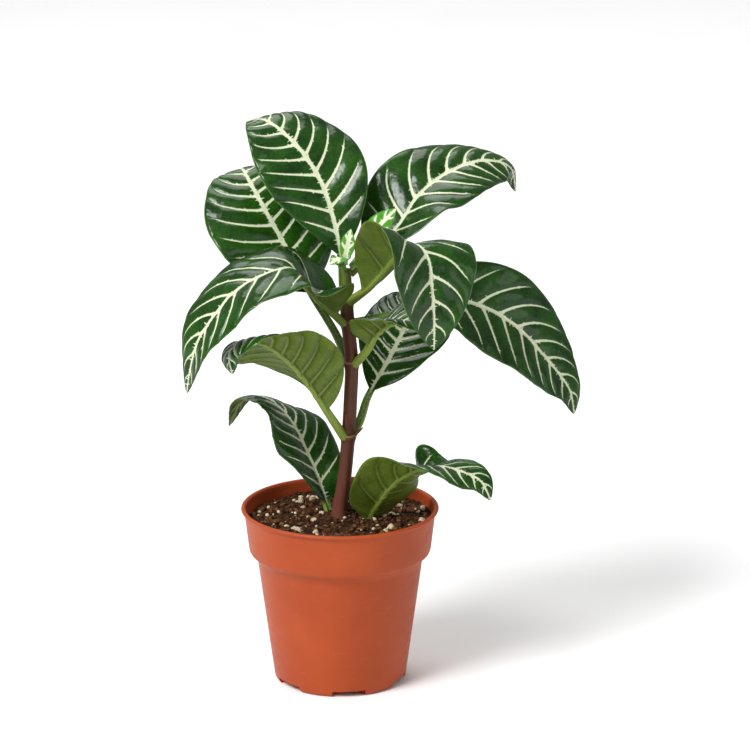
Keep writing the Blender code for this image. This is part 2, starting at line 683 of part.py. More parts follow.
def main():
    clear_scene()
    carrier = bpy.data.objects.new("plant_frame", None)
    bpy.context.collection.objects.link(carrier)
    carrier.location = (POT_AXIS_X * MM, POT_AXIS_Y * MM, 0.0)

    terracotta = finish("terracotta_plastic", (0.55, 0.10, 0.03), 0.45)
    peat = finish("peat_mix", (0.035, 0.018, 0.010), 0.95)
    bark = finish("stem_skin", (0.13, 0.035, 0.018), 0.55)
    leaf_green = finish("leaf_green", (0.015, 0.07, 0.012), 0.35)
    young_green = finish("young_leaf_green", (0.10, 0.30, 0.02), 0.4)

    build_pot(terracotta, carrier)
    build_stem(bark, carrier)

    points, radii = stem_line(CLEARANCE)
    below = points[0] + (points[0] - points[1])
    above = points[-1] + (points[-1] - points[-2]) * 0.1
    points = np.vstack([below, points, above])
    radii = np.concatenate([radii[:1], radii, radii[-1:]])
    stem_room = add_piece("stem_room", tube("stem_room", points, radii, STEM_SIDES), bark, carrier)
    hide_guide(stem_room)

    basal = LEAVES[:2]
    holes = [petiole_hole(leaf, peat, carrier) for leaf in basal]
    growing = [at_height(STEM_LINE, SOIL_TOP)]
    growing += [at_height(leaf.midrib, SOIL_TOP) for leaf in basal]
    build_soil(peat, carrier, [stem_room] + holes, growing)
    for leaf in LEAVES:
        young = leaf.name.startswith("young")
        add_leaf(leaf, young_green if young else leaf_green, carrier, stem_room)
    remove_pieces(holes + [stem_room])


main()
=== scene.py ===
# %% [markdown]
# # A zebra plant in its nursery pot
#
# The real thing is a young house plant, about 31 cm high, in an 11 cm plastic
# pot. Its solid model gives the places of the pot, the potting mix, the stem
# and each leaf. This lesson gives every one of them the finer form and the
# finish that the solids leave out: cream veins, puckered blades, crumbs of
# peat, grains of perlite and the soft shine of moulded plastic.

# %% Load the solid model
import json
import math
from dataclasses import dataclass

import bmesh
import bpy
import numpy as np
from mathutils import Matrix, Vector, noise

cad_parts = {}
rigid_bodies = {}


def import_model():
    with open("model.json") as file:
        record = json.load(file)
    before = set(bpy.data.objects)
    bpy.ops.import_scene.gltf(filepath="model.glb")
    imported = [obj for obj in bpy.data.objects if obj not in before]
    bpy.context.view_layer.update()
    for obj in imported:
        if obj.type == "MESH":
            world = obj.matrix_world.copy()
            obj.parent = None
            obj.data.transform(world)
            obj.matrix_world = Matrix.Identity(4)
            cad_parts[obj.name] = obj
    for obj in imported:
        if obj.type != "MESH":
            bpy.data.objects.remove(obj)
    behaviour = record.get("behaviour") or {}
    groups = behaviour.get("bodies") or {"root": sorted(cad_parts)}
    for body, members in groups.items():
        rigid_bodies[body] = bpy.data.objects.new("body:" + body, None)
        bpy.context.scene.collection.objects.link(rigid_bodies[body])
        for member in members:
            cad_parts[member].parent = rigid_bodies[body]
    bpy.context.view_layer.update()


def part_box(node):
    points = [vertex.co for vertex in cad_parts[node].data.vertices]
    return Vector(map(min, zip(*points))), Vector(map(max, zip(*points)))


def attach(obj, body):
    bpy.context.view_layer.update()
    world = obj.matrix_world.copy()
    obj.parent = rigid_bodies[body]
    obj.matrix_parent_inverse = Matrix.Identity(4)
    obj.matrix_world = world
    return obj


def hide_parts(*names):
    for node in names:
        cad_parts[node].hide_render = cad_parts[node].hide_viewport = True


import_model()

MM = 0.001
pot_low, pot_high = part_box("pot")
POT_AXIS = Vector(((pot_low[0] + pot_high[0]) / 2, (pot_low[1] + pot_high[1]) / 2, 0.0))
print("the pot's axis stands at", POT_AXIS)

# %% [markdown]
# ## Handling pieces
#
# Everything below is worked out in millimetres from the pot's axis, because a
# gardener would measure a potted plant that way. One helper turns a bmesh in
# those millimetres into an object in metres at the origin, with smooth
# shading, and fastens it to the plant. Another adds material nodes, so that a
# finish reads as a short list of what it is made of.


# %% Two helpers: a piece, and a finish
def add_piece(name, bm, materials, node=None):
    """Make an object from a bmesh in millimetres; it may stand for a solid."""
    bmesh.ops.scale(bm, vec=(MM, MM, MM), verts=bm.verts)
    bmesh.ops.translate(bm, vec=POT_AXIS, verts=bm.verts)
    mesh = bpy.data.meshes.new(name)
    bm.to_mesh(mesh)
    bm.free()
    for material in materials:
        mesh.materials.append(material)
    mesh.shade_smooth()
    piece = bpy.data.objects.new(name, mesh)
    bpy.context.collection.objects.link(piece)
    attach(piece, "root")
    if node:
        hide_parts(node)
    return piece


class Finish:
    """A material built node by node; each call gives back the socket to use next."""

    def __init__(self, name):
        self.material = bpy.data.materials.new(name)
        self.material.use_nodes = True
        self.tree = self.material.node_tree
        self.shader = self.tree.nodes["Principled BSDF"]
        self.place = self.node("ShaderNodeTexCoord").outputs["Object"]

    def node(self, kind, sockets=None, **settings):
        made = self.tree.nodes.new(kind)
        for name, value in settings.items():
            setattr(made, name, value)
        for name, value in (sockets or {}).items():
            self.plug(value, made.inputs[name])
        return made

    def plug(self, value, socket):
        if isinstance(value, bpy.types.NodeSocket):
            self.tree.links.new(value, socket)
        else:
            socket.default_value = value

    def surface(self, **values):
        for name, value in values.items():
            self.plug(value, self.shader.inputs[name.replace("_", " ").title()])

    def attribute(self, name):
        return self.node("ShaderNodeAttribute", attribute_name=name).outputs["Fac"]

    def math(self, operation, *values):
        sockets = dict(enumerate(values))
        return self.node("ShaderNodeMath", sockets, operation=operation).outputs[0]

    def noise(self, scale, detail=3.0, vector=None, stretch=None, **settings):
        vector = vector or self.place
        if stretch:
            vector = self.node("ShaderNodeMapping", {"Vector": vector, "Scale": stretch}).outputs[0]
        sockets = {"Vector": vector, "Scale": scale, "Detail": detail}
        return self.node("ShaderNodeTexNoise", sockets, **settings).outputs["Fac"]

    def line_noise(self, place, scale, detail=1.0):
        sockets = {"W": place, "Scale": scale, "Detail": detail}
        return self.node("ShaderNodeTexNoise", sockets, noise_dimensions="1D").outputs["Fac"]

    def cells(self, scale, feature="F1", stretch=None):
        vector = self.place
        if stretch:
            vector = self.node("ShaderNodeMapping", {"Vector": vector, "Scale": stretch}).outputs[0]
        sockets = {"Vector": vector, "Scale": scale}
        return self.node("ShaderNodeTexVoronoi", sockets, feature=feature).outputs["Distance"]

    def fade(self, value, low, high, start=0.0, end=1.0):
        sockets = {"Value": value, "From Min": low, "From Max": high, "To Min": start, "To Max": end}
        return self.node("ShaderNodeMapRange", sockets, interpolation_type="SMOOTHSTEP").outputs[0]

    def ramp(self, value, stops):
        made = self.node("ShaderNodeValToRGB", {"Fac": value})
        steps = made.color_ramp.elements
        while len(steps) < len(stops):
            steps.new(0.5)
        for step, (place, colour) in zip(steps, stops):
            step.position = place
            step.color = (*colour, 1.0)
        return made.outputs["Color"]

    def mix(self, share, first, second):
        made = self.node("ShaderNodeMix", {"Factor": share}, data_type="RGBA")
        for value, socket in ((first, made.inputs[6]), (second, made.inputs[7])):
            self.plug((*value, 1.0) if isinstance(value, tuple) else value, socket)
        return made.outputs[2]

    def bump(self, height, distance, strength=1.0, under=None):
        sockets = {"Height": height, "Distance": distance, "Strength": strength}
        if under:
            sockets["Normal"] = under
        return self.node("ShaderNodeBump", sockets).outputs["Normal"]


# %% [markdown]
# ## The pot
#
# A nursery pot is blown or moulded in thin plastic, so it is the same all the
# way round: a rolled lip, a straight band, a quick curve in, and a tapering
# wall down to a foot with six notches that let water drain. A turned section
# is the natural way to make it. Spin sweeps one profile round the axis, and
# the notches and drain holes are cut out afterwards.

# %% The pot's section, round its rim and down its wall
POT_SIDES = 160
FOOT_RADIUS = 35.0
FLOOR_TOP = 5.0
FLOOR_UNDERSIDE = 3.8
POT_SECTION = [
    (0.0, 3.8), (28.0, 3.8), (30.4, 3.8), (30.7, 3.5), (30.8, 0.5), (31.0, 0.3), (31.7, 0.3),
    (31.9, 0.5), (32.0, 3.5), (32.3, 3.8), (33.3, 3.7), (33.5, 3.4), (33.5, 0.2), (33.7, 0.0),
    (34.7, 0.0), (35.0, 0.12), (35.9, 0.55), (36.45, 1.15), (36.85, 1.95), (37.05, 2.9),
    (37.5, 6.3), (39.6, 22.0), (42.1, 40.5), (44.2, 56.0), (45.8, 68.0), (46.05, 69.7),
    (46.4, 70.9), (47.1, 72.0), (48.2, 73.1), (49.3, 73.9), (50.1, 74.7), (50.55, 75.6),
    (50.8, 76.7), (51.0, 78.3), (52.1, 87.6), (53.15, 96.4), (53.3, 97.3), (53.65, 97.75),
    (54.3, 97.95), (54.75, 98.3), (55.0, 98.8), (54.9, 99.35), (54.5, 99.8), (53.9, 100.0),
    (53.2, 99.9), (52.6, 99.5), (52.3, 98.8), (52.15, 97.6), (50.9, 87.0), (49.75, 77.3),
    (49.5, 76.1), (49.0, 75.1), (47.6, 73.7), (46.0, 72.3), (45.2, 71.2), (44.85, 69.9),
    (42.9, 56.0), (39.3, 30.0), (36.2, 8.0), (35.7, 5.9), (35.2, 5.2), (34.6, 5.0), (0.0, 5.0),
]


def spin_section(section, sides):
    """Sweep a section of (radius, height) points round the axis into a closed skin."""
    bm = bmesh.new()
    verts = [bm.verts.new((radius, 0.0, height)) for radius, height in section]
    edges = [bm.edges.new(pair) for pair in zip(verts, verts[1:])]
    bmesh.ops.spin(bm, geom=verts + edges, cent=(0, 0, 0), axis=(0, 0, 1),
                   angle=math.tau, steps=sides, use_merge=True)
    bmesh.ops.remove_doubles(bm, verts=bm.verts, dist=1e-4)
    bmesh.ops.recalc_face_normals(bm, faces=bm.faces[:])
    return bm


# %% [markdown]
# ### Terracotta-coloured plastic
#
# Moulded plastic is even, but not flat: the colour drifts a little where the
# sheet cooled, the band catches fine scuffs from being handled and stacked,
# and a grain too small to see one by one keeps the shine satin. The scuffs
# are noise that is drawn out round the pot.

# %% A satin terracotta plastic
def pot_plastic():
    finish = Finish("pot_terracotta_plastic")
    drift = finish.noise(22.0, 2.0)
    speck = finish.noise(900.0, 2.0)
    colour = finish.ramp(drift, [(0.3, (0.33, 0.050, 0.010)), (0.7, (0.39, 0.064, 0.014))])
    colour = finish.mix(finish.fade(speck, 0.62, 0.78, 0.0, 0.25), colour, (0.46, 0.10, 0.04))
    scuffs = finish.noise(90.0, 4.0, stretch=(1.0, 1.0, 3.0))
    colour = finish.mix(finish.fade(scuffs, 0.56, 0.78, 0.0, 0.14), colour, (0.50, 0.16, 0.08))
    shine = finish.math("ADD", finish.fade(scuffs, 0.4, 0.8, 0.0, 0.14), 0.44)
    grain = finish.noise(2600.0, 1.0)
    ripple = finish.noise(35.0, 1.0)
    normal = finish.bump(grain, 0.00006, 0.5)
    normal = finish.bump(ripple, 0.0008, 0.25, under=normal)
    finish.surface(base_color=colour, roughness=shine, normal=normal)
    finish.shader.inputs["Specular IOR Level"].default_value = 0.22
    return finish.material


terracotta = pot_plastic()

# %% Turn the pot and cut its notches, ring gaps and drain holes
NOTCH_COUNT = 6
NOTCH_FRONT = -82.0


def block(length, width, height, place, bearing, top_share=1.0):
    """Closed box lying out along a bearing, its top narrowed by a share."""
    bm = bmesh.new()
    bmesh.ops.create_cube(bm, size=1.0)
    for vert in bm.verts:
        narrow = top_share if vert.co.z > 0 else 1.0
        vert.co = Vector((vert.co.x * length, vert.co.y * width * narrow, vert.co.z * height))
    turn = Matrix.Rotation(math.radians(bearing), 4, "Z")
    bmesh.ops.transform(bm, matrix=turn @ Matrix.Translation(place), verts=bm.verts)
    return bm


def drain_hole(bearing):
    bm = bmesh.new()
    bmesh.ops.create_cone(bm, cap_ends=True, segments=32, radius1=3.2, radius2=3.2, depth=6.0)
    turn = Matrix.Rotation(math.radians(bearing), 4, "Z")
    place = Matrix.Translation((25.5, 0.0, FLOOR_TOP - 0.5))
    bmesh.ops.transform(bm, matrix=turn @ place, verts=bm.verts)
    return bm


def cut(piece, cutters):
    """Cut closed bmeshes out of a piece and take the cutters away again."""
    group = bpy.data.collections.new("cutters")
    for index, bm in enumerate(cutters):
        bmesh.ops.scale(bm, vec=(MM, MM, MM), verts=bm.verts)
        bmesh.ops.translate(bm, vec=POT_AXIS, verts=bm.verts)
        mesh = bpy.data.meshes.new(f"cutter_{index}")
        bm.to_mesh(mesh)
        bm.free()
        group.objects.link(bpy.data.objects.new(mesh.name, mesh))
    bpy.context.scene.collection.children.link(group)
    modifier = piece.modifiers.new("Cuts", "BOOLEAN")
    modifier.operation = "DIFFERENCE"
    modifier.operand_type = "COLLECTION"
    modifier.collection = group
    bpy.context.view_layer.update()
    graph = bpy.context.evaluated_depsgraph_get()
    piece_mesh = bpy.data.meshes.new_from_object(piece.evaluated_get(graph), depsgraph=graph)
    piece.modifiers.clear()
    piece.data = piece_mesh
    for cutter in list(group.objects):
        bpy.data.objects.remove(cutter, do_unlink=True)
    bpy.data.collections.remove(group)


pot = add_piece("nursery_pot", spin_section(POT_SECTION, POT_SIDES), [terracotta], "pot")
cutters = []
for index in range(NOTCH_COUNT):
    bearing = NOTCH_FRONT + index * 360.0 / NOTCH_COUNT
    cutters.append(block(5.0, 18.7, 5.5, (FOOT_RADIUS, 0.0, 0.75), bearing))
    cutters.append(block(3.0, 8.0, 5.5, (31.3, 0.0, 0.75), bearing, 0.8))
    cutters.append(drain_hole(bearing))
cut(pot, cutters)
pot.data.shade_smooth()
pot.data.set_sharp_from_angle(angle=math.radians(40))
print("pot:", len(pot.data.polygons), "faces")

# %% [markdown]
# ## The potting mix
#
# Peat mix is a dark brown crumb with fibres, bits of bark and white grains of
# perlite. Its body is turned like the pot, just inside the wall, and its top
# is pushed up and down by noise at three sizes: heaps, clods and crumbs. The
# loose bits on top are separate small shapes, strewn with a seeded random
# generator so that they fall in the same places every time.

# %% The mix's body and its crumbled top
SOIL_TOP = 93.0
SOIL_RIM = 51.35
STEM_FOOT = (-0.9, 0.0)


def soil_height(x, y):
    """Top of the potting mix: higher at the back and right and round the stem."""
    height = SOIL_TOP - 1.0 + 2.2 * (0.55 * y + 0.35 * x) / 50.0
    height += 2.6 * math.exp(-((x + 1.0) ** 2 + y**2) / 260.0)
    lumps = noise.noise(Vector((x, y, 3.0)) / 7.0) + 0.6 * noise.noise(Vector((x, y, 9.0)) / 3.2)
    return height + 1.6 * lumps


def crumbled_height(x, y):
    """The same heaps with clods and crumbs on them."""
    place = Vector((x, y, 0.0))
    clods = noise.noise(place / 2.1 + Vector((40, 0, 0)))
    crumbs = noise.noise(place / 0.85 + Vector((0, 70, 0)))
    return soil_height(x, y) + 1.3 * abs(clods) + 0.8 * abs(crumbs) - 0.35


soil_section = [(0.0, SOIL_TOP)]
soil_section += [(SOIL_RIM * ring / 110, SOIL_TOP) for ring in range(1, 111)]
soil_section += [(49.3, 78.5), (48.8, 76.0), (44.6, 71.2), (44.1, 68.0), (35.7, 7.0), (34.0, 5.3), (0.0, 5.3)]
bm = spin_section(soil_section, 240)
for vert in bm.verts:
    if vert.co.z > SOIL_TOP - 0.1:
        vert.co.z = crumbled_height(vert.co.x, vert.co.y)


def peat_mix():
    finish = Finish("peat_mix")
    patches = finish.noise(110.0, 4.0)
    crumbs = finish.noise(1400.0, 4.0)
    colour = finish.ramp(finish.math("ADD", finish.math("MULTIPLY", patches, 0.5),
                                     finish.math("MULTIPLY", crumbs, 0.5)),
                         [(0.38, (0.005, 0.002, 0.001)), (0.50, (0.036, 0.013, 0.005)),
                          (0.62, (0.150, 0.060, 0.020))])
    normal = finish.bump(crumbs, 0.0009, 0.9)
    normal = finish.bump(finish.cells(620.0), 0.0006, 0.6, under=normal)
    finish.surface(base_color=colour, roughness=0.95, normal=normal)
    finish.shader.inputs["Specular IOR Level"].default_value = 0.15
    return finish.material


soil_mix = peat_mix()
soil = add_piece("potting_mix_top", bm, [soil_mix], "potting_mix")
bpy.context.view_layer.update()
print("potting mix:", len(soil.data.polygons), "faces")

# %% [markdown]
# ### Loose bits on top
#
# Each kind of bit is one small shape, roughened and squashed differently every
# time it is laid down: round crumbs of peat, cream perlite, flat chips of bark
# and thin bent fibres. They are dropped on to the mix by a ray cast straight
# down, so that each one really lies on it.


# %% Strewing helpers
def soil_hit(x, y):
    """Point of the mix under a place given in pot millimetres, and its normal."""
    start = Vector((x * MM, y * MM, 0.2)) + POT_AXIS
    found, point, normal, _ = soil.ray_cast(start, (0.0, 0.0, -1.0))
    return (point - POT_AXIS) / MM, normal


def strewn(rng, count, rim=49.0, denser=None):
    """Random places on the mix, clear of the stem."""
    places = []
    while len(places) < count:
        bearing = rng.uniform(0.0, math.tau)
        reach = rim * math.sqrt(rng.uniform(0.0, 1.0))
        x, y = reach * math.cos(bearing), reach * math.sin(bearing)
        if math.hypot(x - STEM_FOOT[0], y - STEM_FOOT[1]) < 5.5:
            continue
        if denser and rng.uniform() > denser(x, y):
            continue
        places.append((x, y))
    return places


def lay(bm, rng, x, y, size, squash, rough, sink, subdivisions=1):
    """Lay one roughened, squashed ball on the mix."""
    point, normal = soil_hit(x, y)
    made = bmesh.ops.create_icosphere(bm, subdivisions=subdivisions, radius=1.0)
    turn = Matrix.Rotation(rng.uniform(0.0, math.tau), 4, "Z")
    tip = Matrix.Rotation(rng.uniform(-0.5, 0.5), 4, "X") @ Matrix.Rotation(rng.uniform(-0.5, 0.5), 4, "Y")
    offset = Vector(rng.uniform(-50, 50, 3))
    for vert in made["verts"]:
        swell = 1.0 + rough * noise.noise(vert.co * 1.3 + offset)
        shape = Vector((vert.co.x * squash[0], vert.co.y * squash[1], vert.co.z * squash[2]))
        vert.co = shape * size * swell
    lift = Matrix.Translation(point + Vector((0, 0, size * squash[2] * sink)))
    bmesh.ops.transform(bm, matrix=lift @ turn @ tip, verts=made["verts"])


# %% Crumbs of peat
def crumb_finish():
    finish = Finish("peat_crumb")
    tone = finish.noise(330.0, 2.0)
    grain = finish.noise(2400.0, 4.0)
    colour = finish.ramp(tone, [(0.38, (0.005, 0.002, 0.001)), (0.52, (0.050, 0.019, 0.007)),
                                (0.66, (0.190, 0.080, 0.028))])
    colour = finish.mix(finish.fade(grain, 0.45, 0.75, 0.0, 0.6), colour, (0.14, 0.060, 0.024))
    finish.surface(base_color=colour, roughness=0.93, normal=finish.bump(grain, 0.0005, 0.9))
    finish.shader.inputs["Specular IOR Level"].default_value = 0.15
    return finish.material


rng = np.random.default_rng(5)
bm = bmesh.new()
for x, y in strewn(rng, 1250, 50.0):
    size = 0.5 + 1.7 * rng.uniform() ** 3.5
    lay(bm, rng, x, y, size, (1.0, rng.uniform(0.7, 1.0), rng.uniform(0.5, 0.9)), 0.9, 0.15)
crumbs = add_piece("peat_crumbs", bm, [crumb_finish()])
print("peat crumbs:", len(crumbs.data.polygons), "faces")


# %% Grains of perlite, thicker at the left and right of the pot
def perlite_finish():
    finish = Finish("perlite")
    pores = finish.cells(1500.0)
    tint = finish.noise(420.0, 2.0)
    colour = finish.ramp(tint, [(0.36, (0.40, 0.28, 0.16)), (0.56, (0.70, 0.59, 0.42))])
    colour = finish.mix(finish.fade(pores, 0.02, 0.30, 0.45, 0.0), colour, (0.36, 0.25, 0.15))
    finish.surface(base_color=colour, roughness=0.85, normal=finish.bump(pores, 0.0004, 0.8))
    return finish.material


rng = np.random.default_rng(11)
bm = bmesh.new()
sides = strewn(rng, 135, 48.5, denser=lambda x, y: min(1.0, 0.25 + (abs(x - 2.0) / 42.0) ** 1.5))
for x, y in sides:
    size = 0.6 + 1.7 * rng.uniform() ** 2.2
    squash = (1.0, rng.uniform(0.7, 1.0), rng.uniform(0.6, 0.9))
    lay(bm, rng, x, y, size, squash, 0.4, 0.3, subdivisions=2)
grains = add_piece("perlite_grains", bm, [perlite_finish()])
print("perlite:", len(sides), "grains,", len(grains.data.polygons), "faces")


# %% Chips of bark and bent fibres
def bark_finish():
    finish = Finish("bark_and_fibre")
    streaks = finish.noise(260.0, 3.0, stretch=(1.0, 5.0, 1.0))
    colour = finish.ramp(streaks, [(0.35, (0.040, 0.015, 0.006)), (0.6, (0.180, 0.075, 0.028)),
                                   (0.8, (0.330, 0.170, 0.075))])
    finish.surface(base_color=colour, roughness=0.9, normal=finish.bump(streaks, 0.0005, 0.8))
    return finish.material


rng = np.random.default_rng(23)
bm = bmesh.new()
for x, y in strewn(rng, 170, 48.5):
    size = 0.9 + 2.3 * rng.uniform() ** 2
    lay(bm, rng, x, y, size, (1.0, rng.uniform(0.35, 0.6), 0.22), 0.6, 0.9)
for x, y in strewn(rng, 120, 47.0):
    point, _ = soil_hit(x, y)
    heading = rng.uniform(0.0, math.tau)
    bend = rng.uniform(-0.9, 0.9)
    length = rng.uniform(2.0, 7.0)
    ring = bmesh.ops.create_circle(bm, segments=4, radius=rng.uniform(0.12, 0.28))["verts"]
    lie = Matrix.Translation(point + Vector((0, 0, 0.35))) @ Matrix.Rotation(heading, 4, "Z")
    bmesh.ops.transform(bm, matrix=lie @ Matrix.Rotation(math.pi / 2, 4, "Y"), verts=ring)
    edges = list({edge for vert in ring for edge in vert.link_edges})
    for step in range(6):
        grown = bmesh.ops.extrude_edge_only(bm, edges=edges)["geom"]
        ring = [item for item in grown if isinstance(item, bmesh.types.BMVert)]
        edges = [item for item in grown if isinstance(item, bmesh.types.BMEdge)]
        heading += bend / 6
        stride = Vector((math.cos(heading), math.sin(heading), rng.uniform(-0.12, 0.16))) * length / 6
        bmesh.ops.translate(bm, vec=stride, verts=ring)
bmesh.ops.holes_fill(bm, edges=bm.edges, sides=4)
bmesh.ops.recalc_face_normals(bm, faces=bm.faces[:])
chips = add_piece("bark_chips_and_fibres", bm, [bark_finish()])
print("bark and fibres:", len(chips.data.polygons), "faces")

# %% [markdown]
# ## Curves through a few points
#
# The stem and every leaf's midrib are smooth curves through a few measured
# points. A cubic that takes its slope at each point from the neighbours gives
# such a curve without a tool, and reading it at even stations places the rows
# of a mesh.


# %% Smooth curves
def path(knots, stations):
    """Smooth curve through points, read at stations from 0 to 1 along its length."""
    knots = np.asarray(knots, float)
    gaps = np.linalg.norm(np.diff(knots, axis=0), axis=1)
    places = np.concatenate([[0.0], np.cumsum(gaps)]) / gaps.sum()
    return hermite(places, knots, stations)


def even_path(knots, stations):
    """Smooth curve through rows of numbers that sit at even steps."""
    knots = np.asarray(knots, float)
    return hermite(np.linspace(0.0, 1.0, len(knots)), knots, stations)


def hermite(places, knots, stations):
    slopes = np.gradient(knots, places, axis=0)
    stations = np.asarray(stations, float)
    spans = np.clip(np.searchsorted(places, stations, side="right") - 1, 0, len(places) - 2)
    width = places[spans + 1] - places[spans]
    t = ((stations - places[spans]) / width)[..., None]
    width = width[..., None]
    return (
        (2 * t**3 - 3 * t**2 + 1) * knots[spans]
        + (t**3 - 2 * t**2 + t) * width * slopes[spans]
        + (-2 * t**3 + 3 * t**2) * knots[spans + 1]
        + (t**3 - t**2) * width * slopes[spans + 1]
    )


def unit(vectors):
    return vectors / np.linalg.norm(vectors, axis=-1, keepdims=True)


# %% [markdown]
# ## The stem
#
# A zebra plant's stem is a little crooked and about as thick as a pencil. It
# swells to a ring wherever a pair of leaves grows, is pinkish where it leaves
# the mix, reddish brown along most of its length and green at the growing
# tip. It is grown ring by ring: a circle is extruded along the curve, and
# each new ring is turned square to it and given its own radius.

# %% Grow the stem
STEM_LINE = [(-1.0, 0.0, 62.0), (-0.9, 0.0, 93.0), (2.4, 0.0, 116.0), (4.6, 0.0, 139.5),
             (5.9, 0.0, 161.3), (6.6, 0.0, 183.0), (4.7, 0.0, 205.0), (3.9, 0.0, 218.0),
             (4.2, 0.0, 236.0)]
NODE_HEIGHTS = [76.0, 140.0, 182.0, 205.0, 217.5]


def grown_tube(bm, points, radii, sides, ridge=0.0):
    """Extrude a ring along a curve; ridges run along it."""
    ahead = unit(np.gradient(points, axis=0))
    ring = bmesh.ops.create_circle(bm, segments=sides, radius=1.0)["verts"]
    edges = list({edge for vert in ring for edge in vert.link_edges})
    first = list(ring)
    bearings = [math.atan2(vert.co.y, vert.co.x) for vert in ring]
    for step, (point, radius, forward) in enumerate(zip(points, radii, ahead)):
        if step:
            grown = bmesh.ops.extrude_edge_only(bm, edges=edges)["geom"]
            fresh = {item for item in grown if isinstance(item, bmesh.types.BMVert)}
            edges = [item for item in grown if isinstance(item, bmesh.types.BMEdge)]
            ring = [next(edge.other_vert(vert) for edge in vert.link_edges
                         if edge.other_vert(vert) in fresh) for vert in ring]
        aside = np.cross((0.0, 1.0, 0.0), forward)
        aside /= np.linalg.norm(aside)
        across = np.cross(forward, aside)
        for vert, bearing in zip(ring, bearings):
            swell = radius * (1.0 + ridge * math.sin(5 * bearing + 0.02 * step))
            vert.co = point + swell * (math.cos(bearing) * aside + math.sin(bearing) * across)
    bmesh.ops.contextual_create(bm, geom=first)
    bmesh.ops.contextual_create(bm, geom=ring)


def stem_radii(heights):
    radii = 3.7 + 0.3 * np.exp(-((heights - 93.0) / 14.0) ** 2)
    radii = radii * np.interp(heights, [60.0, 217.0, 236.0], [1.05, 1.0, 0.62])
    for node in NODE_HEIGHTS:
        radii = radii + 0.7 * np.exp(-((heights - node) / 2.2) ** 2)
        radii = radii - 0.35 * np.exp(-((heights - node - 1.6) / 0.5) ** 2)
    return radii


def stem_skin():
    finish = Finish("stem_skin")
    height = finish.node("ShaderNodeSeparateXYZ", {"Vector": finish.place}).outputs["Z"]
    share = finish.fade(height, 0.090, 0.240)
    finish.tree.nodes[-1].interpolation_type = "LINEAR"
    colour = finish.ramp(share, [(0.0, (0.160, 0.048, 0.034)), (0.12, (0.125, 0.034, 0.020)),
                                 (0.30, (0.088, 0.026, 0.012)), (0.80, (0.094, 0.029, 0.013)),
                                 (0.87, (0.110, 0.100, 0.020)), (1.0, (0.150, 0.240, 0.035))])
    streaks = finish.noise(420.0, 3.0, stretch=(1.0, 1.0, 0.12))
    colour = finish.mix(finish.fade(streaks, 0.5, 0.75, 0.0, 0.45), colour, (0.17, 0.065, 0.035))
    warts = finish.fade(finish.cells(330.0), 0.0, 0.16, 0.5, 0.0)
    colour = finish.mix(warts, colour, (0.20, 0.10, 0.055))
    for node in NODE_HEIGHTS[1:]:
        away = finish.math("ABSOLUTE", finish.math("SUBTRACT", height, (node + 1.2) * MM))
        ring = finish.fade(away, 0.0002, 0.0008, 0.6, 0.0)
        colour = finish.mix(ring, colour, (0.28, 0.19, 0.08))
    normal = finish.bump(streaks, 0.0004, 0.6)
    normal = finish.bump(finish.noise(1800.0, 2.0), 0.0001, 0.5, under=normal)
    finish.surface(base_color=colour, roughness=0.5, normal=normal)
    finish.shader.inputs["Specular IOR Level"].default_value = 0.3
    return finish.material


stations = np.linspace(0.0, 1.0, 210)
points = path(STEM_LINE, stations)
bm = bmesh.new()
grown_tube(bm, points, stem_radii(points[:, 2]), 40, ridge=0.02)
hook = path([(5.0, -2.4, 141), (4.8, -6.0, 146), (3.6, -7.6, 151), (3.8, -7.2, 155)], np.linspace(0, 1, 16))
grown_tube(bm, hook, np.interp(np.linspace(0, 1, 16), [0, 0.5, 1], [1.1, 0.75, 0.25]), 12)
spike = path([(7.0, -1.0, 141), (10.5, -2.6, 144), (13.0, -3.4, 146.5)], np.linspace(0, 1, 12))
grown_tube(bm, spike, np.interp(np.linspace(0, 1, 12), [0, 0.6, 1], [1.2, 0.8, 0.2]), 12)
bmesh.ops.recalc_face_normals(bm, faces=bm.faces[:])
stem = add_piece("stem_and_side_shoots", bm, [stem_skin()], "stem")
print("stem:", len(stem.data.polygons), "faces")

# %% [markdown]
# ## How a leaf is described
#
# A leaf is a flat thing bent in three ways: its midrib arches, its two halves
# fold up or down, and its face turns as it goes. So each leaf is written as a
# midrib, the way its upper side looks, and the slope of either half, from the
# stem to the tip. The numbers are the same as the solid model's, so each fine
# leaf lies in the place of its solid.


# %% The leaves of this plant
@dataclass
class Leaf:
    """One leaf. Lists run from the stem to the tip in even steps."""

    name: str
    midrib: list             # points of the midrib, mm
    facing: list             # where the upper side looks
    left: list               # slope of the left half at the midrib and the margin, degrees
    right: list              # the same for the right half
    half_width: float        # widest half of the blade, mm
    petiole: float           # share of the midrib that is petiole
    broadness: float = 1.0   # below 1, the blade is widest nearer to the stem
    wave: float = 1.4        # height of the margin's waves, mm
    wave_start: float = 0.0  # where in a wave the margin begins, turns
    ribs: int = 10           # side ribs on each half
    keel: float = 1.0        # depth of the midrib's keel against a full-sized leaf


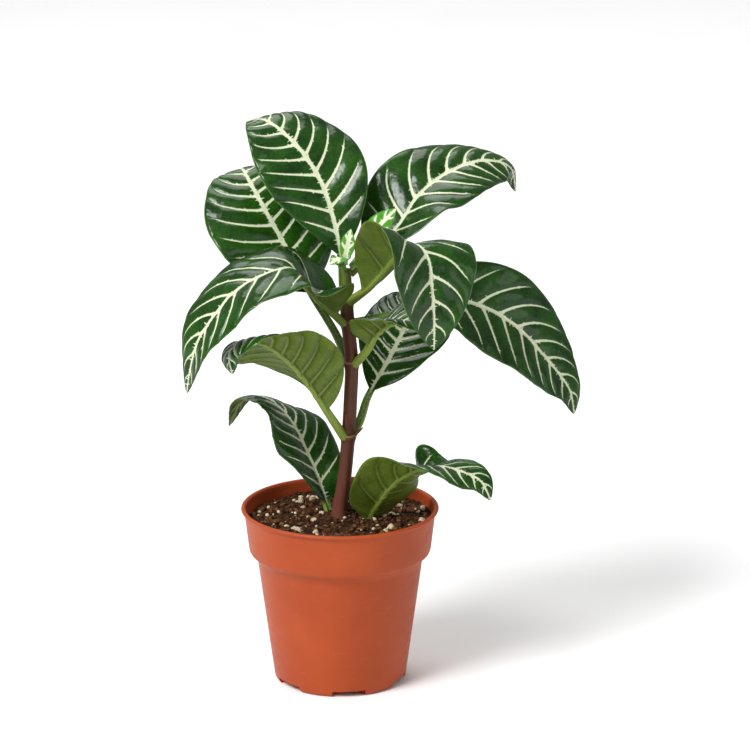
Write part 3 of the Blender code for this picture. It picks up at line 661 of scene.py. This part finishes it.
LEAVES = [
    Leaf(
        name="leaf_left_low",
        midrib=[(-3.2, 3, 82), (-7, 8, 97), (-13, 13, 113), (-19, 18, 126), (-25, 22, 138),
                (-33, 26, 148), (-43, 29, 154.5), (-54, 31, 153), (-62.5, 31, 137)],
        facing=[(0.6, -0.7, 0.4), (0.5, -0.75, 0.5), (0.2, -0.35, 0.9), (-0.1, 0.1, 1.0),
                (-0.7, 0.4, 0.5)],
        left=[(30, 30), (40, 25), (30, 0), (10, 0), (0, 0)],
        right=[(25, 25), (20, 10), (0, -20), (-10, -20), (0, 0)],
        half_width=24.0, petiole=0.16, broadness=0.85, wave=1.8, wave_start=0.1, ribs=12,
    ),
    Leaf(
        name="leaf_right_low",
        midrib=[(5, -0.3, 82), (10, -1, 86), (16.5, -2, 95.5), (21, -6, 103.5), (28.5, -11, 115),
                (40, -17, 125.5), (51, -22, 130), (67, -27, 128), (77, -31, 124), (82.5, -35, 114.5)],
        facing=[(-0.55, 0.7, 0.35), (-0.52, 0.7, 0.38), (-0.35, 0.75, 0.45), (-0.15, 0.78, 0.53),
                (0, 0.65, 0.7), (0.08, 0.3, 0.95), (0.1, -0.2, 0.95), (0.15, -0.55, 0.8),
                (0.3, -0.75, 0.5)],
        left=[(0, -10), (0, 0), (0, 10), (0, 50), (-20, 140), (-10, 35), (0, -10), (-5, -15),
              (0, 0)],
        right=[(10, 10), (10, 10), (10, 10), (8, 5), (0, 0), (0, 0), (5, 0), (10, 0), (20, 10)],
        half_width=24.5, petiole=0.13, broadness=0.75, wave=2.0, wave_start=0.3,
    ),
    Leaf(
        name="leaf_left_mid",
        midrib=[(3.2, -1.2, 140), (-4.7, -7, 154), (-16.6, -13, 174), (-28.5, -19, 189.5),
                (-42, -25, 200.5), (-53, -30, 203.5), (-59, -33, 197), (-57.5, -36, 186.5)],
        facing=[(0.1, 0.8, 0.5), (0.0, 0.75, 0.6), (-0.2, 0.5, 0.8), (-0.5, 0.2, 0.8),
                (-0.75, -0.5, 0.3)],
        left=[(5, -5), (5, 0), (10, 0), (0, -20), (0, -10)],
        right=[(55, 65), (50, 60), (30, 20), (0, -10), (0, -10)],
        half_width=31.0, petiole=0.2, broadness=0.93, wave=0.8, wave_start=0.0, ribs=11,
    ),
    Leaf(
        name="leaf_right_back",
        midrib=[(6.2, 1.2, 140), (10.7, 4, 147.6), (15, 10, 159), (19.3, 15, 166),
                (27, 23, 177.3), (34.5, 34, 189.5), (40, 46, 197), (48, 62, 201), (56, 76, 196)],
        facing=[(-0.5, -0.6, 0.5), (-0.4, -0.75, 0.5), (-0.3, -0.75, 0.6), (0.0, -0.5, 0.9),
                (0.4, 0.0, 0.9)],
        left=[(20, 10), (10, 0), (5, 0), (0, -10), (0, -10)],
        right=[(20, 10), (10, 0), (5, 0), (0, -10), (0, -10)],
        half_width=26.0, petiole=0.25, wave=1.3, wave_start=0.4, ribs=12,
    ),
    Leaf(
        name="leaf_left_back",
        midrib=[(5.2, 1.3, 182), (1.3, 5, 191), (-18, 16.5, 221.5), (-32, 28, 245),
                (-41, 34, 260), (-50, 48, 273), (-55, 60, 278), (-59, 70, 274)],
        facing=[(0.6, -0.6, 0.6), (0.4, -0.75, 0.5), (0.2, -0.8, 0.6), (0.0, -0.5, 0.9),
                (-0.2, 0.0, 1.0)],
        left=[(20, 10), (5, 0), (0, 0), (0, -5), (0, -10)],
        right=[(20, 10), (5, 0), (0, 0), (0, -10), (0, -10)],
        half_width=35.5, petiole=0.32, broadness=0.92, wave=1.4, wave_start=0.2,
    ),
    Leaf(
        name="leaf_right_inner",
        midrib=[(7.8, -1.2, 182), (14.6, -6, 191), (20, -11, 201.5), (27, -17, 208.7),
                (39.6, -25, 212.6), (48.3, -31, 210.3), (53, -35, 202.8)],
        facing=[(0.1, 0.5, 0.85), (0.1, 0.4, 0.9), (0.2, 0.1, 1.0), (0.6, -0.4, 0.6)],
        left=[(70, 70), (60, 55), (30, 20), (0, -10)],
        right=[(15, 20), (15, 5), (10, -10), (0, -10)],
        half_width=21.0, petiole=0.24, broadness=0.68, wave=1.0, wave_start=0.6,
    ),
    Leaf(
        name="leaf_left_long",
        midrib=[(3.4, -1.3, 205), (-17, -9, 227), (-25.5, -13, 239), (-40.5, -20, 237.5),
                (-54, -25, 231), (-67, -29, 217), (-76, -31, 203), (-80, -31, 189), (-82.5, -30, 174)],
        facing=[(-0.1, 0.95, 0.25), (0.1, 0.9, 0.4), (0.1, 0, 1.0), (-0.1, -0.15, 1.0),
                (-0.25, -0.25, 0.95), (-0.45, -0.4, 0.8), (-0.6, -0.5, 0.6), (-0.7, -0.55, 0.45),
                (-0.8, -0.6, 0.3)],
        left=[(0, 0), (0, 0), (5, -10), (12, -10), (10, -10), (12, -8), (15, -5), (12, -2),
              (10, 0)],
        right=[(115, 115), (95, 95), (30, 20), (10, -10), (8, -12), (12, -8), (15, -5), (12, -2),
               (10, 0)],
        half_width=31.0, petiole=0.06, broadness=0.54, wave=1.2, wave_start=0.3,
    ),
    Leaf(
        name="leaf_right_long",
        midrib=[(6, 1.2, 205), (22, 8, 206.5), (36, 14, 208.5), (50, 19, 211.5), (64, 23, 212),
                (79, 26, 207.5), (92, 28, 200), (103, 29.5, 190.5), (112, 30, 180),
                (121, 30, 169), (128.5, 30, 157.5), (131, 29, 144.6)],
        facing=[(0.0, -0.6, 0.8), (-0.1, -0.8, 0.6), (0.1, -0.9, 0.4), (0.4, -0.8, 0.4),
                (0.6, -0.8, 0.2)],
        left=[(10, 0), (5, 0), (10, -10), (0, -20), (0, -20)],
        right=[(10, 0), (15, 10), (30, 15), (30, 10), (15, 0)],
        half_width=27.5, petiole=0.2, broadness=0.95, wave=1.2, wave_start=0.5,
    ),
    Leaf(
        name="leaf_top",
        midrib=[(2.8, 1.3, 217.5), (0.6, 4.8, 243), (-3.2, 9, 262), (-11, 15, 283),
                (-25, 24, 301), (-43, 38, 311), (-51, 47, 308)],
        facing=[(0.3, -0.9, 0.3), (0.1, -0.9, 0.4), (0.05, -0.7, 0.7), (-0.2, -0.1, 1.0)],
        left=[(10, 10), (5, 0), (0, -10), (0, -10)],
        right=[(40, 40), (25, 20), (-5, -10), (0, -20)],
        half_width=28.5, petiole=0.2, broadness=1.05, wave=1.3, wave_start=0.1,
    ),
    Leaf(
        name="leaf_right_front",
        midrib=[(5.0, -1.2, 217.5), (16.8, -9, 228.6), (26, -17, 241.8), (33.5, -26, 252.5),
                (39.5, -34, 258), (45, -42, 256.7), (48, -47, 251.7), (49.2, -50, 242),
                (50.7, -53, 225), (51, -54, 205.2)],
        facing=[(0.5, 0.8, 0.3), (0.2, 0.5, 0.8), (0.3, 0.0, 0.9), (0.2, -0.9, 0.4),
                (0.1, -1.0, 0.1)],
        left=[(60, 60), (50, 40), (20, 0), (0, -10), (10, 0)],
        right=[(5, 0), (10, 0), (20, 10), (35, 25), (25, 10)],
        half_width=29.5, petiole=0.1, wave=1.0, wave_start=0.2, ribs=8,
    ),
    Leaf(
        name="leaf_right_high",
        midrib=[(5.4, 2.2, 233), (19, 6, 244.5), (32, 13.5, 256), (44, 23, 272), (57, 31, 281),
                (66.5, 37, 284.5), (82, 46, 286), (95, 53, 280), (98, 55, 266.5)],
        facing=[(-0.3, -0.7, 0.6), (-0.2, -0.8, 0.6), (-0.1, -0.8, 0.6), (0.3, -0.5, 0.8),
                (0.6, -0.6, 0.45)],
        left=[(-5, -10), (0, -5), (0, -15), (0, -45), (-15, -50)],
        right=[(50, 45), (48, 40), (32, 18), (8, 0), (0, -10)],
        half_width=29.0, petiole=0.12, broadness=0.68, wave=1.2, wave_start=0.7,
    ),
    Leaf(
        name="young_leaf_front",
        midrib=[(2.6, -2, 236.5), (2.4, -6, 241.5), (0.4, -11, 244.6), (-4.8, -16, 242.5)],
        facing=[(-0.6, -0.2, 0.7), (-0.3, -0.5, 0.8), (-0.3, -0.75, 0.6)],
        left=[(15, 10), (10, 0), (5, 0)],
        right=[(15, 10), (10, 0), (5, 0)],
        half_width=5.5, petiole=0.12, wave=0.4, ribs=3, keel=0.4,
    ),
    Leaf(
        name="young_leaf_upright",
        midrib=[(3.3, 0.9, 238), (4, 1.2, 244), (5.2, 1.2, 250.5), (6.4, 0.8, 258)],
        facing=[(-0.4, -0.85, 0.2), (-0.4, -0.85, 0.2), (-0.4, -0.8, 0.3)],
        left=[(20, 15), (15, 10), (10, 5)],
        right=[(20, 15), (15, 10), (10, 5)],
        half_width=4.6, petiole=0.1, wave=0.4, ribs=3, keel=0.4,
    ),
    Leaf(
        name="young_leaf_right",
        midrib=[(6, -1.6, 237.5), (11.5, -3.4, 246), (19.5, -4.8, 258), (31, -6.5, 271)],
        facing=[(-0.6, -0.5, 0.6), (-0.5, -0.65, 0.6), (-0.4, -0.7, 0.6)],
        left=[(20, 15), (10, 5), (5, 0)],
        right=[(20, 15), (10, 5), (5, 0)],
        half_width=8.0, petiole=0.15, broadness=1.2, wave=0.6, ribs=4, keel=0.5,
    ),
]

print("leaves:", len(LEAVES), "of which young:", sum(leaf.name.startswith("young") for leaf in LEAVES))

# %% [markdown]
# ## From the description to a surface
#
# A row of the blade runs along a side vein, so it sweeps forward towards the
# margin as real veins do. The blade between two veins puffs up, and the vein
# lies in a crease. Each point also remembers where it is on the leaf: how far
# from the midrib, how many veins along, how wide the cream bands are there.
# The finish reads these numbers later, so the pattern follows every fold.

# %% The middle surface of a leaf
STALK_ROWS = 16
ROWS_PER_RIB = 12
STRIP = 1.0 / 3.0                     # share of the columns' span that is the midrib strip
HALF_COLUMNS = np.concatenate([np.array([0.3, 0.6, 0.85, 1.0]) * STRIP,
                               STRIP + (1 - STRIP) * np.linspace(0.0, 1.0, 16)[1:]])
ACROSS = np.concatenate([-HALF_COLUMNS[::-1], [0.0], HALF_COLUMNS])
STALK_HALF_WIDTH = 2.5
KEEL_HALF_WIDTH = 1.5
KEEL_DEPTH = 2.8
RIB_RELIEF = 0.9
RIB_STAGGER = 0.22                    # how far the right side's veins lag, in veins


def blade_outline(share, broadness):
    """Half-width along the blade, 1 at its widest: nearly elliptical, drawn to a point."""
    share = np.clip(share, 0.0, 1.0)
    return np.sin(np.pi * share**broadness) ** 0.74 * (1.0 - 0.2 * share**6)


def leaf_surface(leaf):
    """Rows by columns of points and normals, and what each point knows about itself."""
    stalk = np.linspace(0.0, leaf.petiole, STALK_ROWS + 1)[:-1]
    blade = np.linspace(0.0, 1.0, leaf.ribs * ROWS_PER_RIB + 1)
    share = np.abs(ACROSS)[None, :]
    swept = blade[:, None] + 0.75 * share**1.7 * blade[:, None] ** 0.7 * (1.0 - blade[:, None])
    stations = np.concatenate([np.repeat(stalk[:, None], share.shape[1], axis=1),
                               leaf.petiole + (1.0 - leaf.petiole) * swept])
    on_blade = (stations - leaf.petiole) / (1.0 - leaf.petiole)
    phase = np.concatenate([np.zeros(len(stalk)), blade * leaf.ribs])[:, None] + 0.0 * share
    on_stalk = np.concatenate([np.ones(len(stalk)), np.zeros(len(blade))])[:, None] + 0.0 * share

    thin = STALK_HALF_WIDTH * min(1.0, leaf.keel + 0.1)
    thin = thin * np.interp(stations, [0.0, leaf.petiole, 1.0], [1.0, 0.8, 0.12])
    width = np.hypot(thin, leaf.half_width * blade_outline(on_blade, leaf.broadness))
    inner = np.minimum(KEEL_HALF_WIDTH * leaf.keel, 0.45 * width)
    reach = np.where(share <= STRIP, inner * share / STRIP,
                     inner + (width - inner) * (share - STRIP) / (1.0 - STRIP))
    fullness = reach / np.maximum(width, 1e-6)

    spine = path(leaf.midrib, stations)
    ahead = path(leaf.midrib, np.clip(stations + 0.004, 0.0, 1.0))
    behind = path(leaf.midrib, np.clip(stations - 0.004, 0.0, 1.0))
    forward = unit(ahead - behind)
    up = unit(even_path(leaf.facing, stations))
    up = unit(up - (up * forward).sum(-1, keepdims=True) * forward)
    side = np.cross(forward, up)

    right = ACROSS[None, :] > 0.0
    slopes = np.where(right[..., None], even_path(leaf.right, stations), even_path(leaf.left, stations))
    slope = np.radians(slopes[..., 0] + (slopes[..., 1] - slopes[..., 0]) * fullness / 2.0)
    out, rise = reach * np.cos(slope), reach * np.sin(slope)

    size = width / 27.0
    margin = fullness**3 * np.sin(2 * np.pi * (3.5 * stations + leaf.wave_start + 0.31 * right))
    vein_phase = phase - RIB_STAGGER * right * (1.0 - on_stalk)
    puff = 2.0 * np.abs(np.sin(np.pi * vein_phase)) ** 0.75 - 1.0
    relief = np.sqrt(fullness) * (1.0 - 0.7 * fullness**3) * np.minimum(1.0, size * 1.4)
    rise = rise + leaf.wave * size * margin + RIB_RELIEF * relief * puff * (phase > 0)

    points = spine + np.sign(ACROSS)[None, :, None] * side * out[..., None] + up * rise[..., None]
    dents = np.array([[noise.noise(Vector(point) / 7.0) for point in row] for row in points])
    points = points + up * (0.85 * relief * dents)[..., None]
    along, aside = np.gradient(points, axis=0), np.gradient(points, axis=1)
    normals = unit(np.cross(aside, along))

    per_vein = along / np.maximum(np.gradient(phase, axis=0), 1e-3)[..., None]
    row_way = unit(aside)
    gap = np.linalg.norm(per_vein - (per_vein * row_way).sum(-1, keepdims=True) * row_way, axis=-1)
    length = np.linalg.norm(np.diff(path(leaf.midrib, np.linspace(0, 1, 60)), axis=0), axis=1).sum()
    ends = np.interp(phase, [0.35, 0.6, leaf.ribs - 0.9, leaf.ribs - 0.45], [0.0, 1.0, 1.0, 0.0])
    knows = {
        "across": np.sign(ACROSS)[None, :] * reach,
        "along": stations * length,
        "vein": vein_phase,
        "gap": np.minimum(gap, 40.0) * (1.0 - on_stalk),
        "fullness": fullness,
        "stalk": np.clip(1.0 - (stations - leaf.petiole * 0.9) * length / 4.0, 0.0, 1.0),
        "vein_width": ends * np.interp(fullness, [0.0, 0.3, 0.75, 0.94], [0.95, 0.8, 0.5, -0.2])
        * np.interp(on_blade, [0.0, 0.7, 1.0], [1.0, 1.0, 0.55]) - 1.0 * (ends <= 0.0),
        "midrib_width": np.interp(on_blade, [-0.3, 0.0, 0.12, 0.75, 1.0], [0.25, 0.7, 1.3, 1.05, 0.5]),
    }
    return points, normals, stations, knows


# %% [markdown]
# A blade has two sides that look nothing alike, so the leaf is made as one
# grid that is doubled by extruding it. The copy becomes the upper side and the
# original the under side, half a millimetre below, with the round keel of the
# midrib and the raised side ribs on it. The narrow walls between them are the
# margin. Each of the three gets its own finish.

# %% Make a closed leaf from its surface
BLADE_THICKNESS = 0.6


def leaf_piece(leaf, finishes):
    points, normals, stations, knows = leaf_surface(leaf)
    rows, columns = points.shape[:2]
    share = np.abs(ACROSS)[None, :]
    round_stalk = np.interp(stations, [leaf.petiole * 0.6, leaf.petiole + 0.12], [1.0, 0.0])
    strip = np.sqrt(np.clip(1.0 - (share / STRIP) ** 2, 0.0, 1.0))
    whole = np.sqrt(np.clip(1.0 - knows["fullness"] ** 2, 0.0, 1.0))
    keel = KEEL_DEPTH * leaf.keel * np.interp(
        stations, [0.0, leaf.petiole, leaf.petiole + 0.35, 1.0], [1.0, 0.8, 0.35, 0.0])
    depth = keel * (round_stalk * whole + (1.0 - round_stalk) * strip)
    off_vein = np.abs(knows["vein"] - np.rint(knows["vein"])) * knows["gap"]
    raised = 0.45 * np.exp(-(off_vein / 0.8) ** 2) * (knows["vein_width"] > 0) * (1.0 - knows["fullness"])
    depth = depth + raised * (1.0 - round_stalk)
    taper = np.sqrt(np.clip((1.0 - knows["fullness"]) / 0.04, 0.0, 1.0)) * 0.5 + 0.5
    upper = points + normals * (BLADE_THICKNESS / 2 * taper)[..., None]
    lower = points - normals * (BLADE_THICKNESS / 2 * taper + depth)[..., None]

    bm = bmesh.new()
    layers = {name: bm.verts.layers.float.new(name) for name in knows}
    bmesh.ops.create_grid(bm, x_segments=columns - 1, y_segments=rows - 1, size=1.0)
    doubled = bmesh.ops.extrude_face_region(bm, geom=bm.faces[:], use_keep_orig=True)
    top = {item for item in doubled["geom"] if isinstance(item, bmesh.types.BMVert)}
    for face in bm.faces:
        above = sum(vert in top for vert in face.verts)
        face.material_index = 0 if above == len(face.verts) else 1 if above == 0 else 2
    for vert in bm.verts:
        column = round((vert.co.x + 1.0) / 2.0 * (columns - 1))
        row = round((vert.co.y + 1.0) / 2.0 * (rows - 1))
        vert.co = (upper if vert in top else lower)[row, column]
        for name, layer in layers.items():
            vert[layer] = knows[name][row, column]
    bmesh.ops.recalc_face_normals(bm, faces=bm.faces[:])
    return add_piece(leaf.name + "_blade", bm, finishes, leaf.name)


# %% [markdown]
# ### The upper side: cream veins on dark green
#
# The pattern is drawn by distance. A point is on the midrib's band where its
# distance across is less than the band's half-width, and on a side vein where
# its distance from the nearest vein is. Noise along each vein widens it here
# and there, which makes the barbs that give the plant its zebra look. The
# dark green between is glossy, mottled and finely grained.

# %% Upper, under and edge finishes
def vein_masks(finish, barb=1.0, width=1.0):
    """How much cream and how much pale halo a point has."""
    across = finish.attribute("across")
    vein = finish.attribute("vein")
    side = finish.math("SIGN", across)
    from_mid = finish.math("ABSOLUTE", across)
    from_vein = finish.math("MULTIPLY", finish.math("PINGPONG", vein, 0.5), finish.attribute("gap"))
    jag = finish.fade(finish.noise(1400.0, 2.0), 0.25, 0.75, -0.16, 0.16)

    along = finish.math("MULTIPLY_ADD", side, 300.0, finish.attribute("along"))
    mid_barb = finish.fade(finish.line_noise(along, 0.9, 2.0), 0.54, 0.82, 0.0, 2.0 * barb)
    number = finish.math("ROUND", vein)
    lane = finish.math("MULTIPLY_ADD", number, 37.7, finish.math("MULTIPLY", side, 500.0))
    off = finish.math("SIGN", finish.math("SUBTRACT", vein, number))
    lane = finish.math("MULTIPLY_ADD", off, 90.0, lane)
    lane = finish.math("ADD", lane, from_mid)
    vein_barb = finish.fade(finish.line_noise(lane, 0.8, 2.0), 0.58, 0.85, 0.0, 0.9 * barb)

    mid_half = finish.math("MULTIPLY", finish.attribute("midrib_width"), width)
    mid_half = finish.math("ADD", finish.math("ADD", mid_half, mid_barb), jag)
    vein_half = finish.math("MULTIPLY", finish.attribute("vein_width"), width)
    shown = finish.fade(vein_half, 0.0, 0.15)
    vein_half = finish.math("ADD", vein_half, finish.math("MULTIPLY", vein_barb, shown))
    vein_half = finish.math("ADD", vein_half, finish.math("MULTIPLY", jag, 0.7))
    inside = finish.math("MAXIMUM", finish.math("SUBTRACT", mid_half, from_mid),
                         finish.math("SUBTRACT", vein_half, from_vein))
    return finish.fade(inside, -0.12, 0.22), finish.fade(inside, -0.9, 0.0)


def upper_side(name, deep, bright, cream, halo, shine=0.19, width=1.0, barb=1.0, stalk=(0.13, 0.24, 0.035)):
    finish = Finish(name)
    cream_mask, halo_mask = vein_masks(finish, barb, width)
    mottle = finish.noise(75.0, 3.0)
    fine = finish.noise(700.0, 3.0)
    tone = finish.math("MULTIPLY_ADD", fine, 0.35, finish.math("MULTIPLY", mottle, 0.65))
    green = finish.ramp(tone, [(0.36, deep), (0.64, bright)])
    green = finish.mix(finish.math("MULTIPLY", halo_mask, 0.35), green, halo)
    stained = finish.fade(finish.noise(900.0, 2.0), 0.3, 0.75, 0.0, 0.35)
    pale = finish.mix(stained, cream, tuple(0.72 * part for part in cream))
    colour = finish.mix(cream_mask, green, pale)
    petiole = finish.math("MULTIPLY", finish.attribute("stalk"), 0.85)
    colour = finish.mix(petiole, colour, stalk)
    height = finish.node("ShaderNodeSeparateXYZ", {"Vector": finish.place}).outputs["Z"]
    old_foot = finish.math("MULTIPLY", finish.fade(height, 0.165, 0.178), finish.fade(height, 0.205, 0.222, 1.0, 0.0))
    red = finish.math("MULTIPLY", old_foot, finish.fade(finish.attribute("along"), 2.0, 12.0, 0.7, 0.0))
    colour = finish.mix(red, colour, (0.16, 0.045, 0.020))
    hem = finish.fade(finish.attribute("fullness"), 0.975, 0.99)
    colour = finish.mix(hem, colour, (0.07, 0.15, 0.025))
    rough = finish.math("MULTIPLY_ADD", cream_mask, 0.14, finish.fade(fine, 0.3, 0.7, shine - 0.05, shine + 0.07))
    normal = finish.bump(finish.noise(240.0, 1.0), 0.0010, 0.30)
    normal = finish.bump(finish.noise(1500.0, 2.0), 0.00005, 0.4, under=normal)
    normal = finish.bump(cream_mask, 0.00025, 0.5, under=normal)
    finish.surface(base_color=colour, roughness=rough, normal=normal)
    finish.shader.inputs["Specular IOR Level"].default_value = 0.32
    return finish.material


def under_side(name, flesh, rib, shade):
    finish = Finish(name)
    from_mid = finish.math("ABSOLUTE", finish.attribute("across"))
    from_vein = finish.math("MULTIPLY", finish.math("PINGPONG", finish.attribute("vein"), 0.5),
                            finish.attribute("gap"))
    inside = finish.math("SUBTRACT", finish.attribute("vein_width"), from_vein)
    on_vein = finish.fade(inside, 0.1, 0.5)
    on_mid = finish.fade(from_mid, 0.7, 1.5, 1.0, 0.0)
    mottle = finish.noise(120.0, 3.0)
    colour = finish.ramp(mottle, [(0.34, shade), (0.66, flesh)])
    # Painted shade: the colour darkens towards each side rib, standing in for the shade that falls in the creases
    # beside the raised ribs.
    painted_crease_shade = finish.fade(inside, -2.6, 0.2, 0.0, 0.75)
    colour = finish.mix(painted_crease_shade, colour, tuple(0.5 * part for part in shade))
    ribs = finish.math("MAXIMUM", finish.math("MULTIPLY", on_vein, 0.6), on_mid)
    ribs = finish.math("MAXIMUM", ribs, finish.attribute("stalk"))
    colour = finish.mix(ribs, colour, rib)
    net = finish.cells(420.0, "DISTANCE_TO_EDGE")
    colour = finish.mix(finish.fade(net, 0.0, 0.12, 0.25, 0.0), colour, rib)
    normal = finish.bump(net, 0.0003, 0.35)
    normal = finish.bump(finish.noise(1900.0, 2.0), 0.00008, 0.5, under=normal)
    finish.surface(base_color=colour, roughness=0.48, normal=normal)
    finish.shader.inputs["Specular IOR Level"].default_value = 0.3
    return finish.material


def leaf_edge(name, colour):
    finish = Finish(name)
    shade = finish.ramp(finish.noise(300.0, 2.0), [(0.35, tuple(0.7 * part for part in colour)), (0.65, colour)])
    finish.surface(base_color=shade, roughness=0.45)
    return finish.material


LEAF_CREAM = (0.62, 0.66, 0.46)
old_leaf = [
    upper_side("leaf_upper_green", (0.0040, 0.026, 0.0018), (0.016, 0.072, 0.0045), LEAF_CREAM, (0.04, 0.13, 0.015)),
    under_side("leaf_under_green", (0.115, 0.170, 0.016), (0.200, 0.275, 0.045), (0.075, 0.125, 0.010)),
    leaf_edge("leaf_edge_green", (0.09, 0.18, 0.03)),
]
young_leaf = [
    upper_side("young_leaf_upper", (0.045, 0.20, 0.012), (0.10, 0.34, 0.022), (0.72, 0.78, 0.56),
               (0.26, 0.46, 0.13), shine=0.2, width=1.3, barb=0.7, stalk=(0.13, 0.30, 0.04)),
    under_side("young_leaf_under", (0.15, 0.36, 0.045), (0.30, 0.48, 0.13), (0.10, 0.27, 0.025)),
    leaf_edge("young_leaf_edge", (0.22, 0.42, 0.08)),
]

# %% Grow every leaf
for leaf in LEAVES:
    young = leaf.name.startswith("young")
    piece = leaf_piece(leaf, young_leaf if young else old_leaf)
    print(leaf.name, len(piece.data.polygons), "faces")

# %% [markdown]
# ## Floor, light and camera
#
# The photo is a studio picture on white: soft light from the upper left, a
# weaker fill from the right and a light from above and behind that lays a pale
# sheen on the blades. Big area lights give that softness. The camera stands
# two metres off and looks 16 degrees down, through a long lens.

# %% A plain pale floor
bm = bmesh.new()
bmesh.ops.create_grid(bm, x_segments=1, y_segments=1, size=12.0)
mesh = bpy.data.meshes.new("studio_floor")
bm.to_mesh(mesh)
bm.free()
floor = bpy.data.objects.new("studio_floor", mesh)
bpy.context.collection.objects.link(floor)
paper = Finish("studio_paper")
tooth = paper.ramp(paper.noise(6.0, 3.0), [(0.3, (0.93, 0.93, 0.93)), (0.7, (0.95, 0.95, 0.95))])
paper.surface(base_color=tooth, roughness=0.9)
mesh.materials.append(paper.material)


# %% Soft studio light
def softbox(name, place, aim, size, power):
    light = bpy.data.lights.new(name, "AREA")
    light.shape = "DISK"
    light.size = size
    light.energy = power
    lamp = bpy.data.objects.new(name, light)
    lamp.location = place
    lamp.rotation_euler = (Vector(aim) - Vector(place)).to_track_quat("-Z", "Y").to_euler()
    bpy.context.collection.objects.link(lamp)


softbox("key_light", (-1.1, -1.3, 1.5), (0.0, 0.0, 0.17), 1.1, 16.0)
softbox("fill_light", (1.5, -1.2, 0.8), (0.0, 0.0, 0.15), 1.3, 6.0)
softbox("top_light", (-0.3, 0.9, 1.6), (0.0, 0.0, 0.2), 1.2, 12.0)

bank = bpy.data.lights.new("ceiling_bank", "SUN")
bank.energy = 2.4
bank.angle = math.radians(25.0)
lamp = bpy.data.objects.new("ceiling_bank", bank)
lamp.rotation_euler = Vector((-0.50, -0.46, 0.73)).to_track_quat("Z", "Y").to_euler()
bpy.context.collection.objects.link(lamp)

sky = bpy.data.worlds.new("studio_white")
sky.use_nodes = True
sky.node_tree.nodes["Background"].inputs["Color"].default_value = (1.0, 1.0, 1.0, 1.0)
sky.node_tree.nodes["Background"].inputs["Strength"].default_value = 0.36
bpy.context.scene.world = sky
bpy.context.scene.view_settings.view_transform = "Standard"

# %% The camera
CAMERA_AIM = Vector((19.5, 0.0, 175.6)) * MM
CAMERA_DISTANCE = 2.0
CAMERA_PITCH = math.radians(16.0)
lens = bpy.data.cameras.new("camera")
lens.sensor_width = 36.0
lens.lens = 174.3
lens.clip_end = 50.0
camera = bpy.data.objects.new("camera", lens)
away = Vector((0.0, -math.cos(CAMERA_PITCH), math.sin(CAMERA_PITCH)))
camera.location = POT_AXIS + CAMERA_AIM + away * CAMERA_DISTANCE
camera.rotation_euler = (math.pi / 2 - CAMERA_PITCH, 0.0, 0.0)
bpy.context.collection.objects.link(camera)
bpy.context.scene.camera = camera
print("camera at", camera.location)

# %% [markdown]
# ## Last step
#
# The last step only brings the scene up to date.

# %% Bring the scene up to date
bpy.context.view_layer.update()
